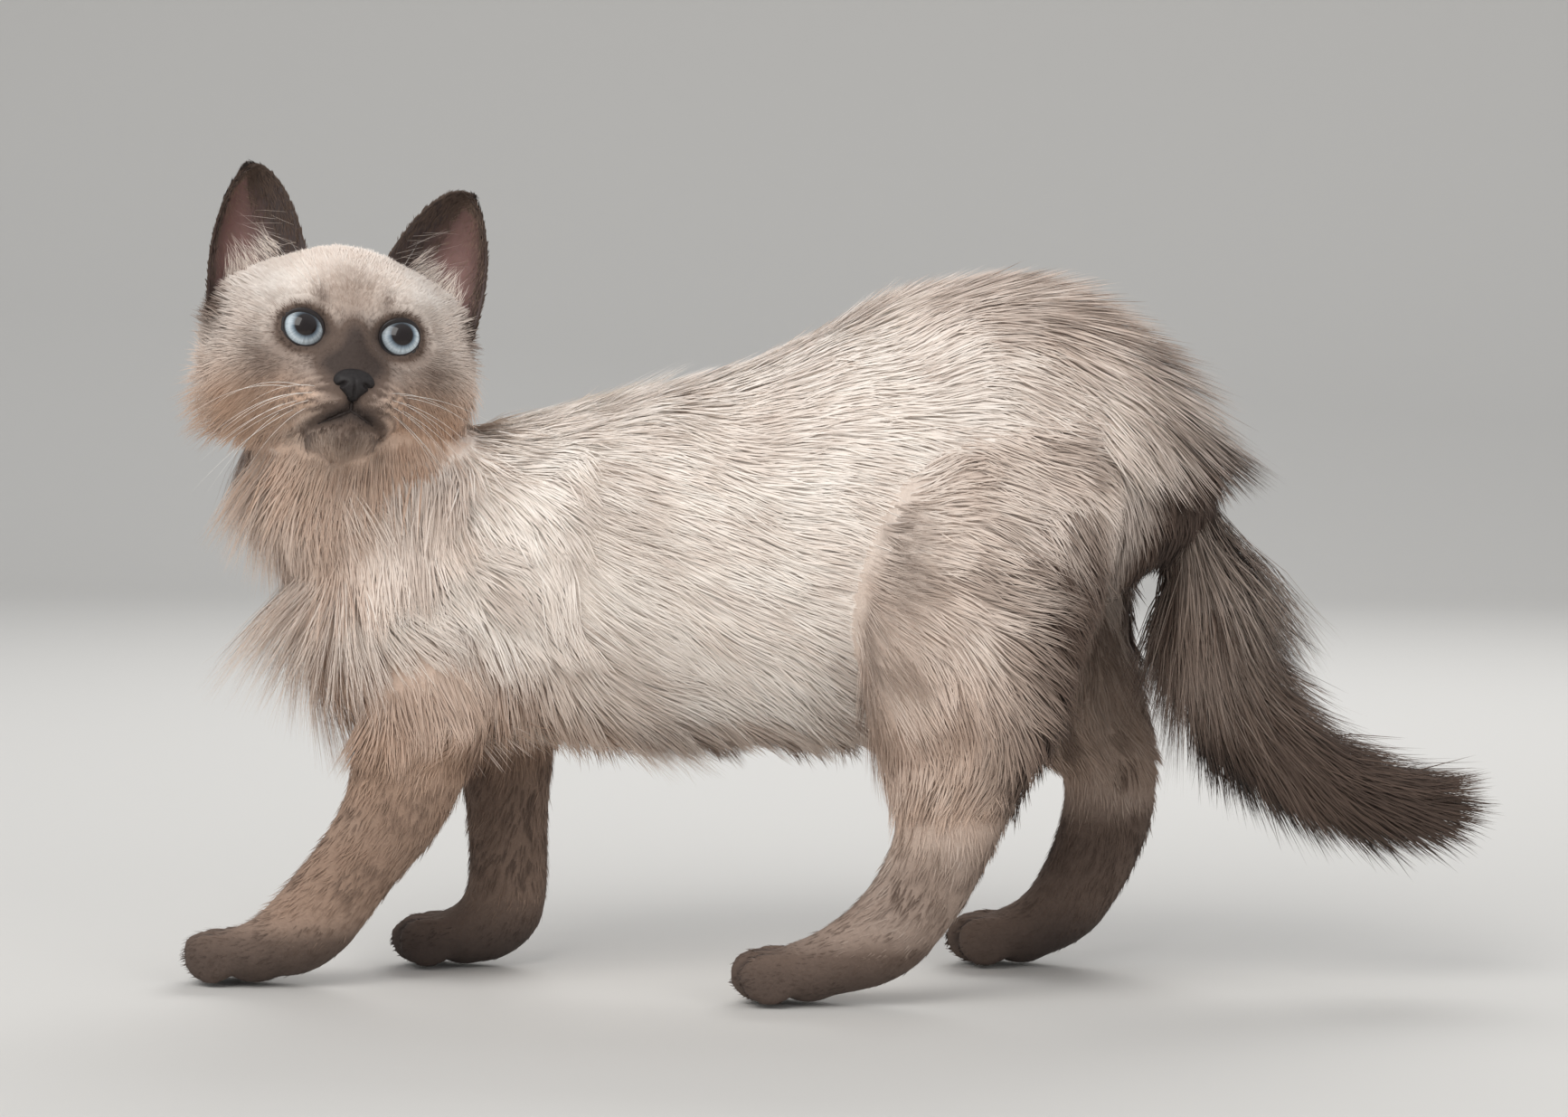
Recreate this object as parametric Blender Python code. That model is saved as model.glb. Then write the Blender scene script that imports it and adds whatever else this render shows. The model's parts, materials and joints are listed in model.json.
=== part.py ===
# A long-haired colourpoint kitten, standing with its rump raised and its head turned to one side.
# Sizes are millimetres in the tables below, and every mesh is made in metres, with +Z up.
# The cat's nose end is at -X, its left side at -Y, and its four feet stand on Z = 0.

import math
import random

import bmesh
import bpy
from mathutils import Matrix, Vector
from mathutils.bvhtree import BVHTree

MM = 0.001
GAP = 0.3                      # air between two nodes that meet
LOCK_GAP = 0.4                 # the same beside a lock
CENTRE = (17.1, -4.9)          # middle of the standing outline, which becomes the origin
SEEDS = {"neck": 15, "tail": 15, "thighs": 15, "trunk": 16}

# Stations along each form: centre x, y, z, then half width, and half depth to either side.
# The half depths are up and down on the trunk, and rear and front on a leg.
TRUNK = [
    (-146, -12, 112, 8, 9, 9), (-139, -11, 113, 22, 25, 22), (-124, -8, 115, 32, 38, 31),
    (-100, -4, 119, 38, 48, 39), (-74, 1, 121, 40, 51, 45), (-50, 3, 124, 41, 53, 50),
    (-25, 4, 129, 42, 54, 54), (0, 4, 133, 43, 57, 58), (25, 4, 139, 43, 60, 61),
    (50, 4, 147, 42, 64, 56), (75, 4, 152, 39, 60, 46), (98, 5, 153, 32, 45, 36),
    (115, 5, 153, 23, 28, 24), (127, 5, 154, 11, 12, 12),
]
NECK = [
    (-101, -4, 124, 31, 38, 31), (-110, -7, 139, 33, 43, 32), (-118, -11, 154, 31, 40, 30),
    (-124, -14, 168, 28, 33, 28), (-127, -16, 182, 22, 24, 22),
]
TAIL = [
    (98, 5, 160.5, 9, 9, 9), (106, 5.5, 160.5, 9, 9, 9), (113.5, 6, 158, 9.5, 9.5, 9.5),
    (118.5, 7, 152.5, 10, 10, 10), (120.5, 8, 142, 10, 10, 10), (121, 8.5, 127, 10, 10, 10),
    (124, 9, 108, 10, 10, 10), (132, 10, 88, 9.5, 9.5, 9.5), (146, 11, 72, 9, 9, 9),
    (162, 12, 62, 8, 8, 8), (177, 13, 57, 7, 7, 7), (189, 14, 55, 5, 5, 5), (198, 14, 55, 2.5, 2.5, 2.5),
]
TAIL_LENGTHS = {"tail_root": (0, 6), "tail_middle": (6, 9), "tail_tip": (9, 12)}   # stations
HIND_LEFT = [
    (72, -20, 172, 11, 22, 22), (70, -27, 152, 16, 32, 33), (60, -31, 126, 18, 37, 37),
    (54, -34, 101, 16, 35, 32), (53, -35, 80, 13.5, 30, 27), (52.5, -35, 64, 11.5, 23, 21),
    (50, -34.5, 49, 10.5, 18.5, 16.5), (41, -34, 33, 10, 16.5, 13.5), (29, -33.5, 20.5, 10.5, 15, 12),
    (17, -33, 11.5, 11.5, 12.5, 10.5), (8, -33, 8, 13, 9.5, 9), (2, -33, 7, 12, 9, 8),
]
HIND_RIGHT = [
    (72, 30, 170, 11, 22, 22), (73, 36, 150, 16, 30, 31), (72, 40, 124, 18, 34, 35),
    (76, 42, 101, 16, 31, 31), (87, 42, 83, 13, 24, 25), (96, 41.5, 67, 11, 19, 19.5),
    (95, 41, 51, 10.5, 17.5, 15), (88, 41, 33, 10, 17.5, 12.5), (81, 41, 20, 10.5, 16, 11.5),
    (74, 41, 11.2, 11.5, 13, 10.2), (67, 41, 8, 12.5, 9.5, 9), (62, 41, 7, 12, 9, 8),
]
FORE_LEFT = [
    (-98, -23, 106, 8, 14, 13), (-100, -26, 92, 13, 20, 20),
    (-106, -27, 72, 13, 19, 20), (-114, -24.5, 55, 12, 17.5, 18), (-125, -21, 40, 11.5, 17.5, 16),
    (-136, -18, 26.5, 11, 17, 14.5), (-147, -15.5, 15, 11.5, 14.5, 13), (-158, -13.5, 8.2, 13, 10, 10.5),
    (-166, -12.5, 7, 12.5, 9, 8),
]
FORE_RIGHT = [
    (-88, 25, 102, 8, 14, 14), (-88, 28, 88, 13, 19, 20),
    (-88.5, 28, 68, 12, 17, 19), (-89, 26, 50, 11.5, 15.5, 17), (-89, 24.5, 35, 11, 15.5, 15),
    (-90.5, 24, 21, 11, 15.5, 13), (-96, 24, 11.5, 11.5, 13.5, 12), (-104, 24, 8, 13, 9.6, 9.5),
    (-109, 24, 7, 12.5, 9, 8),
]

# The coat's locks: width, length, thickness, rise of the tips off the core, the share of the
# length that hugs the core, and how far the free end droops.
LOCKS = {
    "flank": (25, 50, 3.6, 4.5, 1.0, 0.0), "back": (24, 46, 3.4, 7.0, 1.0, 0.0),
    "rump": (21, 46, 3.4, 11.5, 0.75, 0.1), "belly": (20, 42, 3.2, 12.0, 0.4, 0.35),
    "chest": (16, 42, 3.0, 15.0, 0.4, 0.3), "ruff": (17, 40, 3.0, 13.0, 0.5, 0.15),
    "breech": (13, 30, 2.8, 5.5, 0.4, 0.5), "plume": (14, 42, 2.8, 12.0, 0.4, 0.1),
}
# Combing strokes on the trunk and neck: where along and how high, and the way the hair lies.
STROKES = [
    (-150, 100, -0.35, -0.94), (-130, 80, 0.0, -1.0), (-138, 150, -0.45, -0.9),
    (-116, 150, 0.35, -0.94), (-100, 120, 0.55, -0.83), (-80, 150, 0.85, -0.52),
    (-70, 100, 0.75, -0.66), (-40, 160, 0.97, -0.22), (-30, 110, 0.93, -0.36),
    (-20, 80, 0.8, -0.6), (20, 190, 0.99, 0.1), (20, 140, 0.99, -0.12), (25, 85, 0.7, -0.7),
    (60, 205, 0.97, -0.1), (70, 150, 0.9, -0.4), (100, 190, 0.8, -0.6), (120, 150, 0.35, -0.93),
]

# The head's own axes: forward out of the face, to the cat's left, and up.
HEAD_TURN, HEAD_PITCH, HEAD_ROLL = 19.5, 9.0, 6.0    # degrees
EYE_MIDDLE = (-120.2, -50.0, 197.4)                  # between the two corneas
EYE_FORWARD, EYE_ASIDE, EYE_UP, EYE_RADIUS = 20.5, 14.2, 4.0, 8.6
LID_THICK = 1.5
LID_HALF_WIDE, LID_HALF_TALL, LID_SLANT = 5.9, 5.0, 16.0
HEAD_BLEND = 4.0
HEAD_FORMS = {      # centre, then half sizes; a form off the middle is made on both sides
    "skull": ((-4, 0, 4), (33, 31, 30)),
    "cheek": ((4, 21.5, -9), (21, 18.5, 17)),
    "brow": ((19, 13, 13), (8, 9, 7)),
    "bridge": ((27, 0, -3), (12, 6.5, 8)),
    "whisker_pad": ((31.5, 7.2, -17), (9.5, 8.5, 7.5)),
    "chin": ((28, 0, -25), (8.5, 7.5, 6)),
    "jaw": ((12, 0, -15), (20, 17, 14)),
}
NOSE_MIDDLE, NOSE_HALF = (40.5, 0, -13), (3.6, 6.2, 4.4)
NOSTRIL = ((44.2, 3.3, -13.8), (2.6, 1.5, 1.1))
MOUTH = [(0, -18.0), (0, -21.2), (3.6, -23.2), (7.6, -25.0), (11.2, -26.4)]   # aside, up
EAR_INNER, EAR_OUTER, EAR_TIP = (2, 11.5, 29), (3, 37, 9), (-1, 32.6, 55.6)
EAR_CUP, EAR_THICK = 11.0, 2.2


def grid_mesh(name, points, around, rounds, material):
    """Closes rings of points, first to last, with a flat face at each end."""
    faces = []
    for ring in range(rounds - 1):
        for k in range(around):
            a, b = ring * around + k, ring * around + (k + 1) % around
            faces.append((a, b, b + around, a + around))
    faces.append(tuple(range(around)))
    faces.append(tuple(range((rounds - 1) * around, rounds * around)))
    return solid(name, points, faces, material)


def solid(name, points, faces, material):
    """An object from points in millimetres, with its faces turned outwards."""
    mesh = bpy.data.meshes.new(name)
    middle = Vector((CENTRE[0], CENTRE[1], 0))
    mesh.from_pydata([(Vector(p) - middle) * MM for p in points], [], faces)
    shape = bmesh.new()
    shape.from_mesh(mesh)
    bmesh.ops.recalc_face_normals(shape, faces=shape.faces)
    if shape.calc_volume(signed=True) < 0:
        bmesh.ops.reverse_faces(shape, faces=shape.faces)
    bmesh.ops.triangulate(shape, faces=shape.faces)
    shape.to_mesh(mesh)
    shape.free()
    piece = bpy.data.objects.new(name, mesh)
    bpy.context.scene.collection.objects.link(piece)
    mesh.materials.append(material)
    return piece


def smooth_path(stations, steps):
    """Catmull-Rom through the stations, with every size carried along."""
    made = []
    last = len(stations) - 1
    for i in range(last):
        before, here = stations[max(i - 1, 0)], stations[i]
        after, beyond = stations[i + 1], stations[min(i + 2, last)]
        for k in range(steps):
            t = k / steps
            made.append(tuple(
                0.5 * (2 * b + (c - a) * t + (2 * a - 5 * b + 4 * c - d) * t * t
                       + (3 * b - a - 3 * c + d) * t ** 3)
                for a, b, c, d in zip(before, here, after, beyond)))
    made.append(tuple(float(v) for v in stations[last]))
    return made


def loft(name, stations, sides, steps, material, grow=0.0, power=2.1, side=(0, 1, 0), span=None):
    """Rings across a path: each a rounded oval with its own width and two depths."""
    path = smooth_path(stations, steps)
    centres = [Vector(p[:3]) for p in path]
    first, last = (0, len(path) - 1) if span is None else (span[0] * steps, span[1] * steps)
    points = []
    for i in range(first, last + 1):
        centre, station = centres[i], path[i]
        along = (centres[min(i + 1, len(path) - 1)] - centres[max(i - 1, 0)]).normalized()
        across = Vector(side) - along * along.dot(Vector(side))
        across.normalize()
        deep = along.cross(across)
        if i in (first, last):
            ends = grow if (i in (0, len(path) - 1)) or grow else -GAP / 2
            centre = centre + along * (ends if i == last else -ends)
        for k in range(sides):
            turn = 2 * math.pi * k / sides
            c, s = math.cos(turn), math.sin(turn)
            wide = math.copysign(abs(c) ** (2 / power), c) * (station[3] + grow)
            tall = math.copysign(abs(s) ** (2 / power), s) * (station[4 if s > 0 else 5] + grow)
            points.append(centre + across * wide + deep * tall)
    return grid_mesh(name, points, sides, last - first + 1, material)


def ball(name, middle, half, material, turned=None, around=12, rings=7):
    """An ellipsoid about a middle, in millimetres."""
    points, faces = [Vector((0, 0, -1))], []
    for r in range(1, rings):
        lift = -math.pi / 2 + math.pi * r / rings
        for k in range(around):
            turn = 2 * math.pi * k / around
            points.append(Vector((math.cos(turn) * math.cos(lift),
                                  math.sin(turn) * math.cos(lift), math.sin(lift))))
    points.append(Vector((0, 0, 1)))
    for k in range(around):
        faces.append((0, 1 + (k + 1) % around, 1 + k))
        for r in range(rings - 2):
            a, b = 1 + r * around + k, 1 + r * around + (k + 1) % around
            faces.append((a, b, b + around, a + around))
        top = 1 + (rings - 2) * around
        faces.append((top + k, top + (k + 1) % around, len(points) - 1))
    turned = turned or Matrix.Identity(3)
    placed = [Vector(middle) + turned @ Vector((p.x * half[0], p.y * half[1], p.z * half[2]))
              for p in points]
    return solid(name, placed, faces, material)


def combined(base, others, operation, solver="MANIFOLD"):
    """Applies one Boolean of a collection of closed pieces, which are then removed."""
    others = [o for o in others if o is not None]
    if not others:
        return base
    group = bpy.data.collections.new("pieces")
    bpy.context.scene.collection.children.link(group)
    for piece in others:
        bpy.context.scene.collection.objects.unlink(piece)
        group.objects.link(piece)
    change = base.modifiers.new("joined", "BOOLEAN")
    change.operand_type = "COLLECTION"
    change.collection = group
    change.operation = operation
    change.solver = solver
    bpy.context.view_layer.update()
    graph = bpy.context.evaluated_depsgraph_get()
    made = bpy.data.meshes.new_from_object(base.evaluated_get(graph))
    base.modifiers.clear()
    base.data = made
    for piece in list(group.objects):
        bpy.data.objects.remove(piece)
    bpy.data.collections.remove(group)
    keep_largest(base)
    return base


def keep_largest(piece):
    """Leaves only the largest closed surface of a mesh."""
    shape = bmesh.new()
    shape.from_mesh(piece.data)
    shape.faces.ensure_lookup_table()
    seen, shells = set(), []
    for face in shape.faces:
        if face in seen:
            continue
        shell, waiting = [], [face]
        seen.add(face)
        while waiting:
            here = waiting.pop()
            shell.append(here)
            for edge in here.edges:
                for other in edge.link_faces:
                    if other not in seen:
                        seen.add(other)
                        waiting.append(other)
        volume = 0.0
        for f in shell:
            a = f.verts[0].co
            for b, c in zip(f.verts[1:-1], f.verts[2:]):
                volume += a.dot(b.co.cross(c.co)) / 6
        shells.append((volume, shell))
    shells.sort(key=lambda s: s[0])
    for _, shell in shells[:-1]:
        bmesh.ops.delete(shape, geom=shell, context="FACES")
    shape.to_mesh(piece.data)
    shape.free()


def head_axes():
    """The head's forward, left and up directions in the cat's frame."""
    turn, pitch, roll = (math.radians(v) for v in (HEAD_TURN, HEAD_PITCH, HEAD_ROLL))
    level = Vector((math.sin(turn), -math.cos(turn), 0))
    left = Vector((math.cos(turn), math.sin(turn), 0))
    forward = level * math.cos(pitch) + Vector((0, 0, math.sin(pitch)))
    up = forward.cross(left)
    left = left * math.cos(roll) - up * math.sin(roll)
    return forward, left, forward.cross(left)


FORWARD, LEFT, UP = head_axes()
HEAD_TURNED = Matrix((FORWARD, LEFT, UP)).transposed()
HEAD_MIDDLE = (Vector(EYE_MIDDLE) - FORWARD * (EYE_FORWARD + EYE_RADIUS) - UP * EYE_UP)


def in_head(point):
    """From the head's own axes to the cat's frame."""
    return HEAD_MIDDLE + HEAD_TURNED @ Vector(point)


def both_sides(middle):
    """A form's middle, and its mirror where it isn't on the middle plane."""
    return [middle] if middle[1] == 0 else [middle, (middle[0], -middle[1], middle[2])]


def head_depth(point, forms):
    """Soft union of the head's ellipsoids: below zero inside."""
    total = 0.0
    for middle, half in forms:
        off = [point[i] - middle[i] for i in range(3)]
        near = math.sqrt(sum((off[i] / half[i]) ** 2 for i in range(3)))
        slope = math.sqrt(sum((off[i] / half[i] ** 2) ** 2 for i in range(3)))
        total += math.exp(-near * (near - 1) / max(slope, 1e-6) / HEAD_BLEND)
    return -HEAD_BLEND * math.log(max(total, 1e-30))


def head_surface(direction, grow=0.0):
    """How far the head reaches from its middle along a direction."""
    forms = [(m, half) for middle, half in HEAD_FORMS.values() for m in both_sides(middle)]
    near, far = 5.0, 70.0
    for _ in range(22):
        reach = (near + far) / 2
        if head_depth([reach * v for v in direction], forms) < 0:
            near = reach
        else:
            far = reach
    return near + grow


def head_core(name, material, grow=0.0, around=28, rings=18):
    """The head as a ball of directions, each pushed out to the soft union."""
    points, faces = [], []
    poles = []
    for r in range(rings + 1):
        lift = math.pi * r / rings
        ring = []
        for k in range(around if 0 < r < rings else 1):
            turn = 2 * math.pi * k / around
            way = (math.cos(lift), math.sin(lift) * math.cos(turn), math.sin(lift) * math.sin(turn))
            ring.append(len(points))
            points.append(in_head(Vector(way) * head_surface(way, grow)))
        poles.append(ring)
    for r in range(rings):
        here, after = poles[r], poles[r + 1]
        for k in range(around):
            n = (k + 1) % around
            if len(here) == 1:
                faces.append((here[0], after[k], after[n]))
            elif len(after) == 1:
                faces.append((here[k], after[0], here[n]))
            else:
                faces.append((here[k], after[k], after[n], here[n]))
    return solid(name, points, faces, material)


def eye_middle(sign):
    return in_head((EYE_FORWARD, sign * EYE_ASIDE, EYE_UP))


def lid_opening(name, sign, material):
    """An almond prism along the gaze, which cuts the gap between the lids."""
    slant = math.radians(LID_SLANT) * sign
    points, count = [], 20
    for depth in (2.0, EYE_RADIUS + 6.0):
        for k in range(count):
            turn = 2 * math.pi * k / count
            a = math.cos(turn) * LID_HALF_WIDE
            u = math.sin(turn) * LID_HALF_TALL * (0.86 + 0.14 * abs(math.sin(turn)))
            aside = a * math.cos(slant) - u * math.sin(slant)
            up = a * math.sin(slant) + u * math.cos(slant)
            spread = 1.0 + 0.04 * (depth - EYE_RADIUS)
            points.append(in_head((EYE_FORWARD + depth, sign * EYE_ASIDE + aside * spread,
                                   EYE_UP + up * spread)))
    return grid_mesh(name, points, count, 2, material)


def mouth_groove(name, sign, material):
    """A thin tapered tube along the line of the lips, sunk half into the face."""
    points, count = [], 6
    for i, (aside, up) in enumerate(MOUTH):
        way = Vector((33.0, sign * aside, up))
        centre = way.normalized() * (head_surface(way.normalized()) - 0.3)
        radius = (1.0, 1.2, 1.2, 1.0, 0.6)[i]
        ahead = MOUTH[min(i + 1, len(MOUTH) - 1)]
        behind = MOUTH[max(i - 1, 0)]
        along = Vector((0, sign * (ahead[0] - behind[0]), ahead[1] - behind[1])).normalized()
        out = way.normalized()
        across = along.cross(out).normalized()
        out = across.cross(along).normalized()
        for k in range(count):
            turn = 2 * math.pi * k / count
            points.append(in_head(centre + across * math.cos(turn) * radius
                                  + out * math.sin(turn) * radius * 1.5))
    return grid_mesh(name, points, count, len(MOUTH), material)


def ear(name, sign, material, grow=0.0, high=6, wide=6):
    """A cupped leaf from its two base corners to a rounded tip, thick in the middle."""
    inner, outer, tip = (Vector(v) for v in (EAR_INNER, EAR_OUTER, EAR_TIP))
    front, back = [], []
    for i in range(high + 1):
        left = 1 - i / high
        rise, span = 1 - left ** 2, max(left ** 1.3, 0.09)
        bulge = math.sin(math.pi * rise)
        across = (outer - inner) / 2 * span
        width = 2 * across.length
        for k in range(wide + 1):
            t = 2 * k / wide - 1
            bow = 1 - t * t
            middle = ((inner + outer) / 2).lerp(tip, rise) + across * t
            middle += (Vector((0, 0.7, 1.2)) + Vector((0, 2.0, -0.5)) * t) * bulge
            middle += Vector((-1.0, 0.12, 0.05)) * EAR_CUP * bow * min(1.0, width / 24)
            half = (0.45 + 0.55 * bow) * EAR_THICK / 2 * min(1.0, 0.35 + width / 14) + grow
            front.append(middle + Vector((half, 0, 0)))
            back.append(middle - Vector((half, 0, 0)))
            if grow and k in (0, wide):
                aside = Vector((0, grow * t, 0))
                front[-1] += aside
                back[-1] += aside
    points = [in_head((p.x, sign * p.y, p.z)) for p in front + back]
    faces, row, behind = [], wide + 1, len(front)
    for i in range(high):
        for k in range(wide):
            a = i * row + k
            faces.append((a, a + 1, a + row + 1, a + row))
            b = a + behind
            faces.append((b, b + row, b + row + 1, b + 1))
    for i in range(high):
        for k in (0, wide):
            a = i * row + k
            faces.append((a, a + row, a + row + behind, a + behind))
    for k in range(wide):
        for start in (0, high * row):
            a = start + k
            faces.append((a, a + 1, a + 1 + behind, a + behind))
    return solid(name, points, faces, material)


def toes(name, legs_end, heading, material, grow=0.0):
    """Four toes side by side on the front of a paw, the two middle ones further out."""
    x, y = legs_end
    made = []
    for k in range(4):
        aside = (k - 1.5) * 6.0
        ahead = 5.5 if k in (1, 2) else 2.0
        middle = (x + heading[0] * ahead - heading[1] * aside,
                  y + heading[1] * ahead + heading[0] * aside, 6.4)
        half = (9.0 + grow, 4.3 + grow, 8.0 + grow)
        turned = Matrix.Rotation(math.atan2(heading[1], heading[0]), 3, "Z")
        made.append(ball(f"{name}_toe{k}", middle, half, material, turned, around=8, rings=5))
    return made


def surface_of(piece):
    """A search tree over a piece's faces, in the tables' millimetres."""
    middle = Vector((CENTRE[0], CENTRE[1], 0))
    points = [v.co / MM + middle for v in piece.data.vertices]
    return BVHTree.FromPolygons(points, [tuple(f.vertices) for f in piece.data.polygons])


def combed(point):
    """The way the hair lies beside a point of the trunk or neck."""
    along, height, total = 0.0, 0.0, 0.0
    for x, z, dx, dz in STROKES:
        weight = 1.0 / (((point.x - x) ** 2 + (point.z - z) ** 2) ** 1.5 + 50.0)
        along += weight * dx
        height += weight * dz
        total += weight
    return Vector((along / total, 0, height / total)).normalized()


def lock_path(core, root, kind, chance, way=None, share=1.0):
    """Rings of a lock: centre, sideways, outwards, half width and half thickness of each."""
    wide, length, thick, rise, hugging, droop = LOCKS[kind]
    wide *= chance.uniform(0.85, 1.15)
    length *= share * chance.uniform(0.82, 1.15)
    rise *= share * chance.uniform(0.7, 1.25)
    sway = chance.uniform(-0.3, 0.3)
    sink = (2.2 + 0.5 * thick) * share
    spot, out, _, _ = core.find_nearest(root)
    aim = way or combed(spot)
    rings, last, ahead = [], None, None
    for i, t in enumerate((0.0, 0.34, 0.7, 1.0)):
        step = length * (0.0, 0.34, 0.36, 0.3)[i]
        along = aim - out * aim.dot(out)
        if along.length < 0.2:
            along = Vector((0, 0, -1)) - out * -out.z
        along.normalize()
        along = (along + out.cross(along) * sway * t).normalized()
        if i and t > hugging:
            ahead = (ahead + Vector((0, 0, -1)) * droop * 0.5).normalized()
            centre = last + ahead * step
        else:
            spot, out, _, _ = core.find_nearest(spot + along * step)
            centre = spot + out * (-sink + (sink + rise) * t ** 0.8)
        if last is not None:
            ahead = (centre - last).normalized()
            facing = out - ahead * out.dot(ahead)
            if facing.length > 0.05:
                facing.normalize()
            else:
                facing = rings[-1][2]
        else:
            facing, ahead = out, along
        across = facing.cross(ahead).normalized()
        profile = (0.8, 1.0, 0.7, 0.0)[i]
        depth = (1.0, 1.0, 0.7, 0.0)[i]
        rings.append((centre, across, facing, 0.5 * wide * profile, 0.5 * thick * depth, ahead))
        last = centre
    return rings


def lock(name, rings, material, grow=0.0):
    """A flat tapered lock from its rings, ending in a point."""
    points, faces = [], []
    for i, (centre, across, facing, half, depth, ahead) in enumerate(rings[:-1]):
        if i == 0:
            centre = centre - ahead * 1.5 * grow
        half, depth = half + 3.0 * grow, depth + 1.4 * grow
        points += [centre - across * half, centre + facing * depth,
                   centre + across * half, centre - facing * depth]
    points.append(rings[-1][0] + rings[-1][5] * 5 * grow)
    for i in range(len(rings) - 2):
        for k in range(4):
            a, b = 4 * i + k, 4 * i + (k + 1) % 4
            faces.append((a, b, b + 4, a + 4))
    top = 4 * (len(rings) - 2)
    for k in range(4):
        faces.append((top + k, top + (k + 1) % 4, len(points) - 1))
    faces.append((0, 1, 2, 3))
    return solid(name, points, faces, material)


def loft_point(stations, along, turn, power=2.1):
    """A point on the outside of a loft, by share of its stations and turn in radians."""
    path = smooth_path(stations, 4)
    i = min(max(int(along * (len(path) - 1)), 1), len(path) - 2)
    centre = Vector(path[i][:3])
    ahead = (Vector(path[i + 1][:3]) - Vector(path[i - 1][:3])).normalized()
    across = (Vector((0, 1, 0)) - ahead * ahead.y).normalized()
    deep = ahead.cross(across)
    c, s = math.cos(turn), math.sin(turn)
    wide = math.copysign(abs(c) ** (2 / power), c) * path[i][3]
    tall = math.copysign(abs(s) ** (2 / power), s) * path[i][4 if s > 0 else 5]
    return centre + across * wide + deep * tall


def inside(tree, point):
    spot, out, _, _ = tree.find_nearest(point)
    return (point - spot).dot(out) < 0


def trunk_locks(core, limbs, chance):
    """Staggered rows over the trunk, longer and looser over the rump, the chest and the belly."""
    made = []
    for row in range(9):
        along = 0.07 + 0.107 * row
        around = 8
        for k in range(around):
            turn = 2 * math.pi * (k + 0.5 * (row % 2) + chance.uniform(-0.12, 0.12)) / around
            root = loft_point(TRUNK, along + chance.uniform(-0.012, 0.012), turn)
            lift = math.sin(turn)
            kind = "flank"
            if root.x < -112:
                kind = "chest"
            elif root.x > 62 and root.z > 150:
                kind = "rump"
            elif root.z < 92:
                kind = "belly"
            elif lift > 0.8:
                kind = "back"
            if any(inside(limb, root) for limb in limbs):
                continue
            made.append(lock_path(core, root, kind, chance))
    for k, along in enumerate((0.69, 0.75, 0.81, 0.87, 0.92)):
        root = loft_point(TRUNK, along, math.radians(90 + (12 if k % 2 else -14)))
        made.append(lock_path(core, root, "rump", chance, share=1 - 0.06 * (4 - k)))
    for turn in (-150, -120, -90, -60, -30):
        root = loft_point(TRUNK, 0.06 + 0.02 * (turn % 60 == 0), math.radians(turn))
        made.append(lock_path(core, root, "chest", chance))
    return made


def neck_locks(core, head, chance):
    made = []
    for row in range(4):
        for k in range(10):
            turn = 2 * math.pi * (k + 0.5 * (row % 2) + chance.uniform(-0.1, 0.1)) / 10
            root = loft_point(NECK, 0.18 + 0.2 * row, turn)
            if inside(head, root) or (root.x > -92 and root.z < 150):
                continue
            made.append(lock_path(core, root, "ruff", chance))
    return made


def breech_locks(core, stations, chance):
    """Down the back of a thigh."""
    made = []
    for row in range(4):
        for k in range(2):
            turn = math.radians(90 + (k - 0.5) * 56 + (row % 2) * 22 + chance.uniform(-8, 8))
            root = loft_point(stations, 0.13 + 0.075 * row, turn)
            way = Vector((0.4, 0, -0.92))
            made.append(lock_path(core, root, "breech", chance, way, 1 - 0.1 * row))
    return made


def tail_locks(core, span, chance):
    """Round one length of the tail, swept towards its tip."""
    made = []
    stations = len(TAIL) - 1
    rows = 3 if span[1] == stations else 4
    for row in range(rows):
        along = (span[0] + (span[1] - span[0]) * (row + 0.35) / rows) / stations
        here, after = loft_point(TAIL, along - 0.04, 0), loft_point(TAIL, along + 0.05, 0)
        around = 4 if span[1] == stations else 5
        for k in range(around):
            turn = 2 * math.pi * (k + 0.5 * (row % 2) + chance.uniform(-0.15, 0.15)) / around
            root = loft_point(TAIL, along, turn)
            if along < 0.3 and root.x < 110 and root.z < 164:
                continue
            way = (after - here).normalized()
            made.append(lock_path(core, root, "plume", chance, way, 1 - 0.6 * along ** 3))
    return made


def floor_block(name, material):
    """A block under the floor, which cuts the soles flat."""
    low = [(x, y, z) for z in (-60.0, 0.0) for x, y in
           ((-260, -160), (320, -160), (320, 160), (-260, 160))]
    return grid_mesh(name, low, 4, 2, material)


def finish_material(name, colour, roughness):
    made = bpy.data.materials.new(name)
    made.use_nodes = True
    surface = made.node_tree.nodes["Principled BSDF"]
    surface.inputs["Base Color"].default_value = (*colour, 1.0)
    surface.inputs["Roughness"].default_value = roughness
    surface.inputs["Metallic"].default_value = 0.0
    return made


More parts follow.
